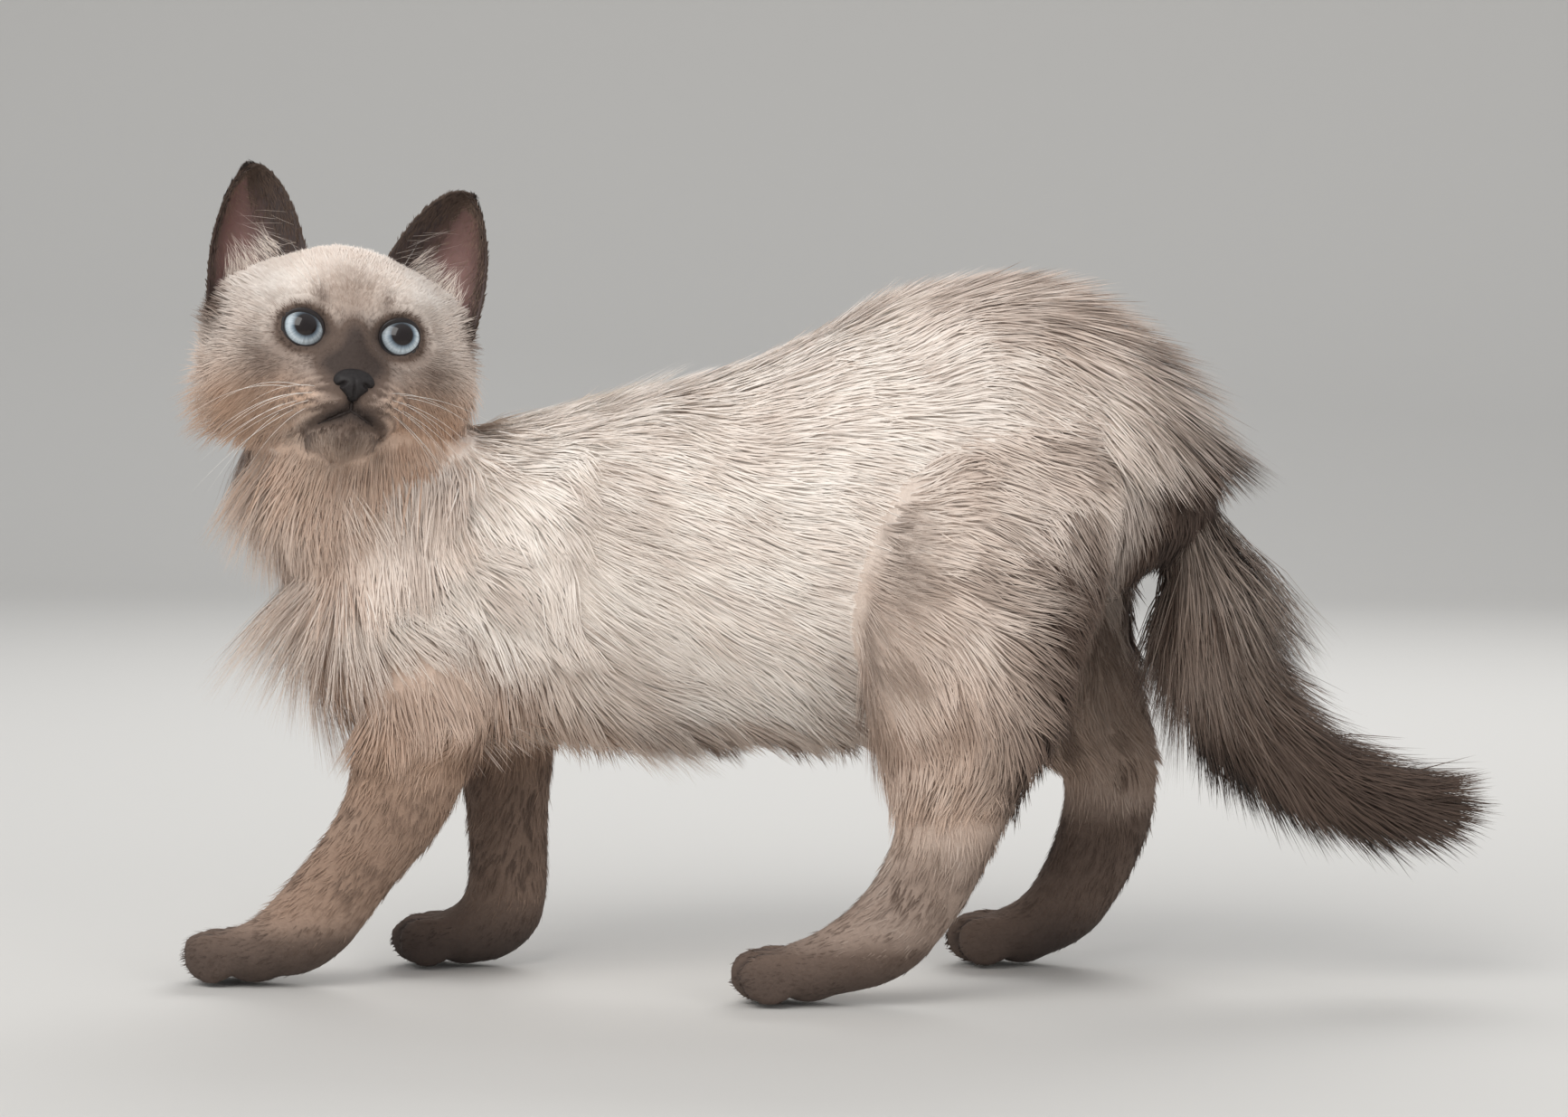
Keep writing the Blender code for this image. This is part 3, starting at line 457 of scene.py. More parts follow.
def locate(points):
    # nearest part: least distance to a part's path over its ring's size there; the head by its own depth
    best = np.full(len(points), 1e9)
    part = np.zeros(len(points), int)
    share, turn = np.zeros(len(points)), np.zeros(len(points))
    way = np.zeros((len(points), 3))
    for number, (name, stations) in enumerate(bodyStations.items()):
        path = throughStations(stations, 4)
        centres, along, across, deep = pathFrames(path)
        gap = ((points[:, None, :] - centres[None]) ** 2).sum(-1)
        nearest = gap.argmin(1)
        off = points - centres[nearest]
        a = (off * across[nearest]).sum(1)
        d = (off * deep[nearest]).sum(1)
        l = (off * along[nearest]).sum(1)
        depth = np.where(d > 0, path[nearest, 4], path[nearest, 5])
        ratio = np.sqrt((a / path[nearest, 3]) ** 2 + (d / depth) ** 2 + (l / depth) ** 2 * 0.5)
        closer = ratio < best
        best = np.where(closer, ratio, best)
        part = np.where(closer, number, part)
        share = np.where(closer, nearest / (len(path) - 1), share)
        turn = np.where(closer, np.arctan2(d, a), turn)
        way = np.where(closer[:, None], along[nearest], way)
    inHead = intoHead(points)
    depth = headDepth(inHead)
    front = inHead[:, 0] > 3
    isHead = (depth < np.where(front, 5.0, 1.5)) & (depth > np.where(front, -9.0, -6.0)) & ((best > 0.72) | front)
    part = np.where(isHead, len(bodyStations), part)
    return part, share, turn, way


skinPart, skinShare, skinTurn, skinWay = locate(skinPoints)
inHeadSkin = intoHead(skinPoints)


# markings, the same for skin and coat
def spot(aside, up, middle, size):
    # a soft round mark: exp(-(distance / size)^2), the same on both sides
    return np.exp(-((np.abs(aside) - middle[0]) / size[0]) ** 2 - ((up - middle[1]) / size[1]) ** 2)


# Marks on the face: aside and up, their sizes, and how dark each is.
faceMarks = [
    ((0, -8.5), (6.5, 6.0), 0.72), ((0, 0.5), (4.2, 6.5), 0.58), ((6.8, -8), (4.2, 4.0), 0.36),
    ((0, -11), (28, 13), 0.26), ((0, 13), (9.0, 7.0), 0.24), ((9.5, 12.0), (2.4, 4.5), 0.22),
    ((0, 19), (8.0, 6.0), 0.14), ((26, -6), (7.0, 9.0), 0.30), ((20, -9), (6.5, 5.0), 0.12),
    ((3.5, -22.0), (9.0, 2.8), 0.30), ((0, -27.0), (8.0, 5.0), 0.50), ((0, -15), (8.5, 4.5), 0.24),
    ((0, 3), (30, 22), 0.12), ((30, 13), (10, 10), 0.15), ((12, -18), (10, 6), 0.22),
]


def faceMarkings(points):
    # dark: the sum of the marks, a ring round each eye, darker above with painted shade of the upper lid, streaks on
    # the whisker pads, dark fur and painted shade along the lips, and the ears' roots;
    # warm: tan on the cheeks, the chin and the forehead, the tan under the chin partly painted shade
    f, aside, up = intoHead(points).T
    side = np.abs(aside)
    mask = sum(shade * spot(aside, up, middle, size) for middle, size, shade in faceMarks)
    for sign in (1, -1):
        across, upward, ahead, opening = eyeOpening(np.stack([f, aside, up], -1), sign)
        # the ring is darker above: dark lid fur and painted shade of the upper lid
        ring = ((0.40 + 0.20 * (upward > 0)) * np.exp(-((opening - 1.05) / 0.45) ** 2)
                + 0.16 * np.exp(-(opening / 2.4) ** 4))
        mask = mask + np.where(ahead > 0, ring, 0)
    # pale streaks on the whisker pads and a pale patch above each eye
    stripe = np.sin((up + 0.22 * side) * 2.5)
    mask = mask + 0.30 * stripe * spot(aside, up, (13.5, -18.5), (7.0, 5.0))
    mask = mask - 0.12 * spot(aside, up, (14.0, -18.5), (5.0, 3.5)) - 0.12 * spot(aside, up, (10.0, 8.8), (3.0, 2.0))
    # a dark band along the lips: dark fur with painted shade in their groove
    mask = mask + 0.42 * np.exp(-(fromMouth(aside, up) / 2.0) ** 2) * (f > 15)
    earBase = 0.60 * smoothStep(30, 36, side) * spot(aside, up, (37, 10), (8, 10))
    earBase += 0.5 * smoothStep(-2, -14, f) * smoothStep(20, 30, up) * smoothStep(16, 24, side)
    warm = 0.22 + 0.70 * spot(aside, up, (30, -17), (16, 11)) + 0.34 * spot(aside, up, (0, 13), (11, 9))
    # tan low on the head, under the chin: partly painted warm shade
    warm += 0.55 * spot(aside, up, (16, -20), (12, 9)) + 0.5 * smoothStep(-24, -32, up)
    warm -= 0.25 * spot(aside, up, (19, 16), (9, 6)) + 0.3 * spot(aside, up, (0, -4), (7, 8))
    return np.clip(mask * smoothStep(-2, 14, f), 0, 1) + earBase, warm


def markings(points, part, share):
    # dark and warm from 0 to 1: how far the hair there goes from cream to slate, and from cream to tan
    x, y, z = points.T
    named = {name: part == k for k, name in enumerate(partNames)}
    # trunk: cream; tan towards the chest and under the shoulder and browner on the belly, partly painted shade of the
    # underside; browner on the rump's rear
    low = smoothStep(120, 90, z)
    # tan low under the shoulder, at the chest and on the belly: partly painted shade of the underside
    warm = 0.10 + 0.80 * low * smoothStep(-40, -90, x) + 0.40 * smoothStep(92, 80, z)
    warm += 0.26 * smoothStep(-112, -138, x) + 0.16 * smoothStep(20, 90, x) + 0.16 * smoothStep(185, 205, z)
    dark = 0.11 * smoothStep(20, 55, x) + 0.16 * smoothStep(84, 108, x) + 0.06 * smoothStep(190, 206, z)
    # painted shade: the belly darker low down
    dark += 0.16 * smoothStep(90, 78, z) * smoothStep(-80, -60, x)
    dark += 0.46 * smoothStep(98, 118, x) * smoothStep(184, 160, z)
    dark += 0.30 * smoothStep(66, 96, x) * smoothStep(150, 128, z)
    # painted shade: darker low under the shoulder and at the chest
    dark += 0.13 * low * smoothStep(-50, -80, x) + 0.05 * smoothStep(-120, -140, x)
    fore = named["foreNear"] | named["foreFar"]
    hind = named["hindNear"] | named["hindFar"]
    leg = fore | hind
    # the legs: tan and darker downwards and on the thigh's rear, their points' own colour and partly painted shade
    warm = np.where(fore, 0.52 + 0.45 * smoothStep(116, 72, z) - 0.15 * smoothStep(30, 10, z), warm)
    warm = np.where(hind, 0.34 + 0.40 * smoothStep(140, 60, z) - 0.15 * smoothStep(66, 44, z), warm)
    paw = smoothStep(24, 6, z)
    dark = np.where(fore, 0.07 + 0.15 * smoothStep(112, 82, z) + 0.18 * smoothStep(80, 50, z) + 0.38 * paw, dark)
    rear = smoothStep(54, 84, x) * smoothStep(156, 124, z)
    dark = np.where(hind, 0.12 + 0.06 * smoothStep(140, 160, z) + 0.03 * smoothStep(150, 110, z)
                    + 0.30 * smoothStep(60, 38, z) + 0.52 * rear + 0.32 * paw, dark)
    # the right foreleg is browner below, painted shade on the far leg; the right thigh's rear is paler
    dark = np.where(named["foreFar"], dark + 0.16 * smoothStep(100, 70, z), dark)
    dark = np.where(named["hindFar"], dark - 0.30 * rear, dark)
    # painted shade in the creases between the toes
    for px, py, dx, dy in skinSettings["toes"].values():
        ahead, aside = (x - px) * dx + (y - py) * dy, (y - py) * dx - (x - px) * dy
        toeCreaseShade = sum(np.exp(-((aside - toeSettings["spacing"] * k) / 0.9) ** 2) for k in (-1, 0, 1))
        dark += np.where(leg, 0.42 * toeCreaseShade * smoothStep(1, 4, ahead) * smoothStep(24, 16, ahead)
                         * smoothStep(20, 15, z), 0)
    # painted shade in the crease where the flank meets the front of the thigh
    flankThighCreaseShade = 31 + 0.16 * (z - 118) + 2.0 * np.sin(z * 0.21)
    dark += np.where(hind | named["trunk"], 0.28 * np.exp(-((x - flankThighCreaseShade) / 2.2) ** 2)
                     * smoothStep(84, 98, z) * smoothStep(150, 132, z) * (y < 0), 0)
    dark = np.where(named["tail"], 0.35 + 0.18 * smoothStep(0.2, 0.5, share)
                    + 0.20 * smoothStep(0.4, 0.8, share), dark)
    warm = np.where(named["tail"], 0.45, warm)
    neck = 0.30 + 0.30 * smoothStep(-104, -130, x)
    warm = np.where(named["neck"], neck, warm)
    # the neck's front is darker at the top: painted shade under the chin
    dark = np.where(named["neck"], 0.04 + 0.10 * smoothStep(-118, -138, x) * smoothStep(150, 168, z), dark)
    faceDark, faceWarm = faceMarkings(points)
    dark = np.where(named["head"], faceDark, dark)
    warm = np.where(named["head"], faceWarm, warm)
    return np.clip(dark, 0, 1), np.clip(warm, 0, 1)


skinDark, skinWarm = markings(skinPoints, skinPart, skinShare)
attribute(skin, "dark", skinDark)
attribute(skin, "warm", skinWarm)


# the way the hair lies
# Combing strokes on the side of the trunk and neck: along, up, then the hair's way along and up.
trunkStrokes = np.array([
    (-66, 167, 0.90, -0.35), (-40, 178, 0.96, -0.22), (0, 183, 0.98, 0.08), (33, 193, 0.95, 0.22),
    (59, 209, 0.95, -0.25), (85, 204, 0.80, -0.58), (111, 188, 0.66, -0.75), (128, 168, 0.24, -0.97),
    (-97, 130, 0.62, -0.78), (-76, 146, 0.70, -0.70), (-81, 109, 0.60, -0.80), (-40, 146, 0.93, -0.33),
    (-40, 109, 0.85, -0.50), (0, 135, 0.97, -0.20), (0, 99, 0.80, -0.58), (20, 135, 0.92, -0.36),
    (-40, 78, 0.60, -0.80), (10, 78, 0.65, -0.76), (-143, 130, -0.32, -0.94), (-133, 94, -0.12, -0.99),
    (-110, 136, 0.36, -0.94), (-112, 96, 0.30, -0.95), (-96, 92, 0.48, -0.88), (77, 188, 0.90, -0.42),
    (98, 170, 0.58, -0.81), (-148, 150, -0.35, -0.93), (-110, 165, 0.45, -0.88), (-88, 160, 0.70, -0.70),
    (60, 150, 0.90, -0.40), (112, 150, 0.30, -0.95), (60, 100, 0.6, -0.8),
])
thighStrokes = np.array([
    (38, 157, 0.97, -0.15), (64, 157, 0.96, -0.25), (90, 146, 0.45, -0.89), (33, 125, 0.90, -0.42),
    (59, 120, 0.78, -0.62), (82, 109, 0.30, -0.95), (28, 94, 0.50, -0.86), (51, 88, 0.60, -0.80),
    (69, 78, 0.25, -0.96),
])


def combed(points, strokes):
    # mean of the strokes, each weighted by 1 / (distance^3 + 60)
    gap = np.hypot(points[:, 0, None] - strokes[None, :, 0], points[:, 2, None] - strokes[None, :, 1])
    weight = 1 / (gap ** 3 + 60.0)
    way = (weight[..., None] * strokes[None, :, 2:]).sum(1) / weight.sum(1, keepdims=True)
    return np.stack([way[:, 0], np.zeros(len(points)), way[:, 1]], -1)


def layOfCoat(points, normals, part, way):
    # combed by the strokes on trunk and thighs, down the legs and the tail, and away from the nose on the head
    trunk = combed(points, trunkStrokes)
    thigh = combed(points, thighStrokes)
    lie = trunk
    for k, name in enumerate(partNames):
        here = (part == k)[:, None]
        if name.startswith("hind"):
            blend = smoothStep(95, 60, points[:, 2])[:, None]
            lie = np.where(here, thigh * (1 - blend) + way * blend, lie)
        elif name.startswith("fore"):
            blend = smoothStep(105, 75, points[:, 2])[:, None]
            lie = np.where(here, trunk * (1 - blend) + way * blend, lie)
        elif name == "tail":
            lie = np.where(here, way, lie)
        elif name == "head":
            inHead = intoHead(points)
            away = unit(inHead - np.array([39.0, 0, -11.0]))
            low = smoothStep(2, -22, inHead[:, 2]) * smoothStep(6, 24, np.abs(inHead[:, 1]))
            away = away + np.stack([-0.25 * np.ones(len(points)), 0.2 * np.sign(inHead[:, 1]) * low, -0.9 * low], -1)
            away[:, 2] -= 0.9 * smoothStep(-22, -29, inHead[:, 2])
            for sign in (1, -1):
                across, upward, ahead, opening = eyeOpening(inHead, sign)
                outward = unit(fromEyePlane(across, upward, 0 * ahead, sign) - eyeMiddle(sign))
                turned = (smoothStep(3.2, 0.9, opening) * (ahead > 0))[:, None]
                away = away * (1 - 0.7 * turned) + outward * 0.8 * turned
            lie = np.where(here, away @ headTurned, lie)
    lie = lie - normals * (lie * normals).sum(1, keepdims=True)
    return unit(lie)


def swirl(points, size, seed):
    # a smooth wandering number: the mean of four sine waves over place
    turnRng = np.random.default_rng(seed)
    ways = turnRng.normal(size=(4, 3)) / size
    return sum(np.sin(points @ w + p) for w, p in zip(ways, turnRng.uniform(0, 6.28, 4))) / 2


# tufts
# For each number of rings: the shares of the length that they stand at, and their widths.
tuftRings = {4: ((0.0, 0.3, 0.6, 0.85), (0.7, 1.0, 0.85, 0.5)), 3: ((0.0, 0.38, 0.74), (0.8, 1.0, 0.62)),
             2: ((0.0, 0.5), (0.85, 0.9))}
tuftSettings = {
    "guardLonger": 1.25, "guardThinner": 0.45, "guardStands": 7.0,    # the few guard hairs
    "ridge": 0.22,                           # height of a tuft's ridge over its half width
    "turnedAcross": 0.4, "turnedOut": 0.2,   # how far its shading turns from the skin's
    "lowest": 0.35, "patch": 0.003,          # mm over the floor; side of its UV patch
}
# What the coats share; each plan gives what differs.
plainTuft = {"rings": 2, "guards": 0.07, "droop": 0.0, "sunk": 0.4, "wave": 0.0, "waves": 0.8, "streak": 0.0}


def tuftPaths(points, normals, lie, length, look, raised, guard, t, tuftRng, seed):
    # path: steps of length x share along lie cos(lean) + normal sin(lean), the lean easing to its end value;
    # then each path bends towards the tip of its lock's middle tuft by gather x t^1.8, and waves sideways
    count = len(points)
    lean = np.radians(look["lean"][0] + (look["lean"][1] - look["lean"][0]) * t[None, :-1]
                      + (raised + guard * tuftSettings["guardStands"])[:, None]
                      + tuftRng.normal(0, look["ruffle"], (count, 1)))
    twist = (tuftRng.normal(0, math.radians(look["stray"]), count)
             + math.radians(look["sweep"]) * (swirl(points, 26.0, seed) + 0.8 * swirl(points, 8.0, seed + 1)))
    side = np.cross(normals, lie)
    lie = lie * np.cos(twist)[:, None] + side * np.sin(twist)[:, None]
    ahead = lie[:, None] * np.cos(lean)[..., None] + normals[:, None] * np.sin(lean)[..., None]
    ahead[..., 2] -= look["droop"] * t[None, :-1] ** 1.3
    ahead = unit(ahead)
    gap = np.diff(t)[None, :, None] * length[:, None, None]
    path = np.concatenate([np.zeros((count, 1, 3)), np.cumsum(ahead * gap, 1)], 1)
    path = path + (points - normals * look["sunk"])[:, None]
    leaders = tuftRng.permutation(count)[:max(count // look["lock"], 1)]
    belongs = np.empty(count, int)
    for start in range(0, count, 4000):
        block = points[start:start + 4000]
        belongs[start:start + 4000] = ((block[:, None] - points[leaders][None]) ** 2).sum(-1).argmin(1)
    if look["gather"] > 0:
        pull = path[leaders][belongs][:, -1] - path[:, -1]
        far = np.linalg.norm(pull, axis=1, keepdims=True)
        pull = pull * np.minimum(1, look["reach"] / np.maximum(far, 1e-6))
        path = path + pull[:, None] * (look["gather"] * t[None, :, None] ** 1.8)
    phase = tuftRng.uniform(0, 6.28, (count, 1))
    wave = look["wave"] * length[:, None] * np.sin(t[None] * look["waves"] * 6.28 + phase) * t[None]
    path = path + np.cross(normals, lie)[:, None] * wave[..., None]
    path[..., 2] = np.maximum(path[..., 2], tuftSettings["lowest"])
    return path, leaders, belongs


def growTufts(name, points, normals, lie, length, width, look, raised, share, turn, warmDark, seed):
    # each tuft is a path with rings of three points across it and out of it, closed by a tip and a root cap
    tuftRng = np.random.default_rng(seed)
    count = len(points)
    steps, widths = tuftRings[look["rings"]]
    t = np.array(steps + (1.0,))
    # a few guard hairs are longer, thinner and stand further out
    guard = tuftRng.uniform(0, 1, count) < look["guards"]
    length = np.where(guard, length * tuftSettings["guardLonger"], length)
    width = np.where(guard, width * tuftSettings["guardThinner"], width)
    path, leaders, belongs = tuftPaths(points, normals, lie, length, look, raised, guard, t, tuftRng, seed)
    along = unit(np.gradient(path, axis=1))
    out = normals[:, None] - along * (normals[:, None] * along).sum(-1, keepdims=True)
    out = unit(out + 1e-6)
    across = np.cross(along, out)
    roll = tuftRng.normal(0, look["roll"], (count, 1, 1))
    across, out = across * np.cos(roll) + out * np.sin(roll), out * np.cos(roll) - across * np.sin(roll)
    half = 0.5 * width[:, None] * np.array(widths)[None]
    rings = path[:, :-1, None] + np.stack([
        -across[:, :-1] * half[..., None], across[:, :-1] * half[..., None],
        out[:, :-1] * half[..., None] * tuftSettings["ridge"]], 2)
    each = 3 * len(steps) + 1
    made = np.concatenate([rings.reshape(count, -1, 3), path[:, -1:]], 1)
    faces, under = [], []
    for r in range(len(steps) - 1):
        for k in range(3):
            a, b = 3 * r + k, 3 * r + (k + 1) % 3
            faces += [(a, b + 3, b), (a, a + 3, b + 3)]
            under += [k == 0, k == 0]
    top = 3 * (len(steps) - 1)
    faces = np.array(faces + [(top + k, each - 1, top + (k + 1) % 3) for k in range(3)] + [(0, 1, 2)])
    under = np.repeat(under + [True, False, False, True], 3)
    pattern = faces.ravel()
    faces = (np.arange(count)[:, None, None] * each + faces[None]).reshape(-1, 3)
    piece = meshFromArrays(name, toModel(made.reshape(-1, 3)), faces)
    # the coat shades as one soft surface: normal = the skin's under the root, turned a little round each tuft
    aside = across[:, :-1] * tuftSettings["turnedAcross"]
    shading = normals[:, None, None] + np.stack([-aside, aside, out[:, :-1] * tuftSettings["turnedOut"]], 2)
    shading = unit(np.concatenate([shading.reshape(count, -1, 3), normals[:, None]], 1))[:, pattern]
    shading = np.where(under[None, :, None], -normals[:, None], shading)
    piece.data.normals_split_custom_set(shading.reshape(-1, 3).tolist())
    ringT = np.append(np.repeat(t[:-1], 3), 1.0)
    attribute(piece, "rootTip", np.tile(ringT, count))
    ofLock = tuftRng.uniform(0, 1, len(leaders))[belongs]
    attribute(piece, "tone", np.repeat(0.45 * tuftRng.uniform(0, 1, count) + 0.55 * ofLock, each))
    # whole locks here and there are darker than their neighbours
    streak = look["streak"] * (smoothStep(0.45, 1.0, ofLock) - 0.2)
    attribute(piece, "dark", np.repeat(np.clip(warmDark[0] + streak, 0, 1), each))
    attribute(piece, "warm", np.repeat(warmDark[1], each))
    edge = np.append(np.tile([0.0, 1.0, 0.5], len(steps)), 0.5)
    attribute(piece, "strand", np.tile(edge, count))
    # each tuft's patch sits at its root's place on the unrolled part: share of the length, and turn round it
    u = 0.01 + 0.975 * share
    v = 0.01 + 0.975 * (turn / (2 * np.pi) + 0.5)
    patch = np.stack([np.repeat(u, each) + tuftSettings["patch"] * np.tile(ringT, count),
                      np.repeat(v, each) + tuftSettings["patch"] * np.tile(edge, count)], -1)
    layer = piece.data.uv_layers.new(name="OFBake")
    layer.data.foreach_set("uv", patch[faces.ravel()].astype(np.float32).ravel())
    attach(piece, "root")
    print("kitten:", name, count, "tufts,", len(faces), "triangles")
    return piece


triangleArea = np.linalg.norm(np.cross(
    skinPoints[skinTriangles[:, 1]] - skinPoints[skinTriangles[:, 0]],
    skinPoints[skinTriangles[:, 2]] - skinPoints[skinTriangles[:, 0]]), axis=1) / 2


def rootsOn(density, count, seed):
    # random places on the skin, as likely on a triangle as its area x density
    rootRng = np.random.default_rng(seed)
    chance = triangleArea * density[skinTriangles].mean(1)
    chosen = np.searchsorted(np.cumsum(chance) / chance.sum(), rootRng.uniform(0, 1, count))
    chosen = np.minimum(chosen, len(skinTriangles) - 1)
    a, b = rootRng.uniform(0, 1, (2, count))
    flip = a + b > 1
    a, b = np.where(flip, 1 - a, a), np.where(flip, 1 - b, b)
    weight = np.stack([1 - a - b, a, b], -1)[..., None]
    corner = skinTriangles[chosen]
    points = (skinPoints[corner] * weight).sum(1)
    normals = unit((skinNormals[corner] * weight).sum(1))
    first = corner[:, 0]
    return points, normals, skinPart[first], skinShare[first], skinTurn[first], skinWay[first]


def isPart(*names):
    return np.isin(skinPart, [partNames.index(n) for n in names]).astype(float)


def trunkPart(low, high, side):
    near = np.ones(len(skinPoints)) if side is None else (skinPoints[:, 1] * side > 4 * side).astype(float)
    return isPart("trunk") * (skinPoints[:, 0] > low) * (skinPoints[:, 0] <= high) * near


# count, where it grows, length and width in mm; lean at root and tip, ruffle, stray and sweep in degrees;
# droop, and how far the root is sunk; gather is how far tips go to their lock's, of about "lock" tufts, within reach.
flankTuft = {"length": 22, "lean": (7, 1), "ruffle": 2, "stray": 7, "sweep": 13, "droop": 0.02, "gather": 0.34,
             "lock": 44, "reach": 3.5, "roll": 0.10, "streak": 0.10}
faceTuft = {"count": 12000, "length": 4.0, "width": 0.25, "lean": (11, 4), "ruffle": 3, "stray": 6, "sweep": 7,
            "sunk": 0.2, "gather": 0.2, "lock": 14, "reach": 1.0, "roll": 0.14}
coatPlans = {
    "coatFlankNear": {**flankTuft, "count": 16500, "width": 0.56,
                      "where": lambda: trunkPart(-60, 200, -1) * (skinPoints[:, 2] > 86)},
    "coatFlankFar": {**flankTuft, "count": 8500, "width": 0.70,
                     "where": lambda: trunkPart(-60, 200, 1) * (skinPoints[:, 2] > 86)},
    "coatShoulder": {"count": 17000, "where": lambda: (trunkPart(-300, -60, None)
                     + isPart("foreNear", "foreFar") * (skinPoints[:, 2] > 72)),
                     "length": 25, "width": 0.44, "lean": (9, 2), "ruffle": 2, "stray": 8, "sweep": 24,
                     "droop": 0.10, "sunk": 0.5, "gather": 0.55, "lock": 44, "reach": 6.0, "wave": 0.03,
                     "roll": 0.16, "streak": 0.16},
    "coatBelly": {"count": 6000, "where": lambda: trunkPart(-60, 200, None) * (skinPoints[:, 2] <= 86),
                  "length": 24, "width": 0.42, "lean": (18, 8), "ruffle": 4, "stray": 9, "sweep": 16,
                  "droop": 0.45, "sunk": 0.5, "gather": 0.75, "lock": 32, "reach": 6, "wave": 0.04, "waves": 0.9,
                  "roll": 0.2, "streak": 0.12},
    "coatRuff": {"count": 14000, "where": lambda: isPart("neck"),
                 "length": 26, "width": 0.42, "lean": (15, 4), "ruffle": 3, "stray": 8, "sweep": 22,
                 "droop": 0.18, "sunk": 0.5, "gather": 0.50, "lock": 44, "reach": 6, "wave": 0.03,
                 "roll": 0.16, "streak": 0.14},
    "coatThighs": {"count": 15500, "where": lambda: isPart("hindNear", "hindFar") * (skinPoints[:, 2] > 62),
                   "length": 16, "width": 0.50, "lean": (11, 2), "ruffle": 3, "stray": 8, "sweep": 18,
                   "droop": 0.06, "gather": 0.45, "lock": 44, "reach": 4.0, "roll": 0.16, "streak": 0.18},
    "coatLegs": {"count": 12000, "where": lambda: (isPart("foreNear", "foreFar") * (skinPoints[:, 2] <= 78)
                 + isPart("hindNear", "hindFar") * (skinPoints[:, 2] <= 66)),
                 "length": 6.0, "width": 0.42, "lean": (13, 4), "ruffle": 3, "stray": 9, "sweep": 10,
                 "sunk": 0.3, "gather": 0.25, "lock": 18, "reach": 1.5, "roll": 0.16, "streak": 0.10},
    "coatTail": {"count": 11000, "where": lambda: isPart("tail"),
                 "length": 30, "width": 0.48, "lean": (26, 8), "ruffle": 6, "stray": 8, "sweep": 10,
                 "droop": 0.05, "sunk": 0.5, "gather": 0.40, "lock": 34, "reach": 5, "wave": 0.03,
                 "roll": 0.25, "streak": 0.10},
    "coatCheeks": {"count": 15000, "where": lambda: isPart("head") * smoothStep(16, 4, inHeadSkin[:, 0]),
                   "length": 12, "width": 0.34, "lean": (13, 3), "ruffle": 3, "stray": 8, "sweep": 12,
                   "guards": 0.04, "droop": 0.16, "gather": 0.40, "lock": 34, "reach": 3, "roll": 0.14,
                   "streak": 0.06},
    "coatFaceLeft": {**faceTuft, "where": lambda: faceHalf(1)},
    "coatFaceRight": {**faceTuft, "where": lambda: faceHalf(-1)},
}


def faceDensity(inHead):
    # none inside the lids, on the nose or on the lips; most on the muzzle
    keep = np.ones(len(inHead))
    for sign in (1, -1):
        across, upward, ahead, opening = eyeOpening(inHead, sign)
        keep *= np.where((ahead > 0), smoothStep(1.16, 1.24, opening), 1)
    nose = ((inHead[:, 0] - 40.5) / 4.6) ** 2 + (inHead[:, 1] / 5.9) ** 2 + ((inHead[:, 2] + 14) / 4.6) ** 2
    lips = 1 - 0.95 * np.exp(-(fromMouth(inHead[:, 1], inHead[:, 2]) / 0.9) ** 2)
    return keep * (nose > 1) * lips * (0.8 + 0.7 * smoothStep(16, 30, inHead[:, 0]))


def faceHalf(sign):
    face = smoothStep(0, 14, inHeadSkin[:, 0]) * faceDensity(inHeadSkin)
    return isPart("head") * face * (inHeadSkin[:, 1] * sign > 0)


def coatLength(name, base, points, normals, part, share):
    # the plan's length times a share that changes over the part
    x, y, z = points.T
    made = np.full(len(points), float(base))
    if name.startswith("coatFlank"):
        made *= 0.85 + 0.35 * smoothStep(35, 90, x) + 0.30 * smoothStep(96, 112, x) * smoothStep(150, 164, z)
        made *= 1 - 0.50 * smoothStep(76, 92, x) * smoothStep(172, 158, z)
        made *= 1 + 0.30 * smoothStep(104, 90, z) * smoothStep(-66, -50, x)
    if name == "coatShoulder":
        ofLeg = np.isin(part, [partNames.index("foreNear"), partNames.index("foreFar")])
        made *= 0.80 + 0.30 * smoothStep(-95, -135, x) + 0.35 * smoothStep(104, 88, z)
        made *= 1 + 0.40 * smoothStep(-120, -136, x) * smoothStep(112, 128, z)
        made *= np.where(ofLeg, 0.36 + 0.54 * smoothStep(72, 106, z), 1)
    if name == "coatThighs":
        made *= 0.80 + 0.25 * smoothStep(45, 70, x) * smoothStep(60, 100, z) - 0.25 * smoothStep(72, 92, x)
    if name == "coatLegs":
        made *= 0.45 + 0.55 * smoothStep(8, 40, z) + 0.6 * smoothStep(55, 85, z)
    if name == "coatTail":
        made *= 0.80 + 0.40 * smoothStep(0.05, 0.3, share) - 0.5 * smoothStep(0.75, 1.0, share)
        made *= 1 + 0.95 * smoothStep(0.1, 0.8, normals[:, 0]) * smoothStep(0.48, 0.2, share)
        made *= 1 - 0.18 * (smoothStep(0.0, 0.8, -0.7 * normals[:, 2] - 0.7 * normals[:, 0])
                            * smoothStep(0.35, 0.55, share))
    if name == "coatCheeks" or name.startswith("coatFace"):
        f, aside, up = intoHead(points).T
        side = np.abs(aside)
        wide = smoothStep(16, 32, side) * smoothStep(20, 2, up)
        if name == "coatCheeks":
            made *= (0.50 + 0.60 * wide + 0.65 * smoothStep(-10, -26, up)
                     + 0.20 * smoothStep(24, 32, side) * smoothStep(-8, 4, up))
        else:
            made *= 0.55 + 0.95 * smoothStep(30, 12, f) + 0.5 * wide
            made *= 1 - 0.40 * smoothStep(30, 38, f) + 1.2 * smoothStep(-24, -30, up) + 2.6 * smoothStep(-28, -34, up)
            for sign in (1, -1):
                ahead, opening = eyeOpening(np.stack([f, aside, up], -1), sign)[2:]
                made *= np.where(ahead > 0, 0.50 + 0.50 * smoothStep(1.15, 2.0, opening), 1)
    return made


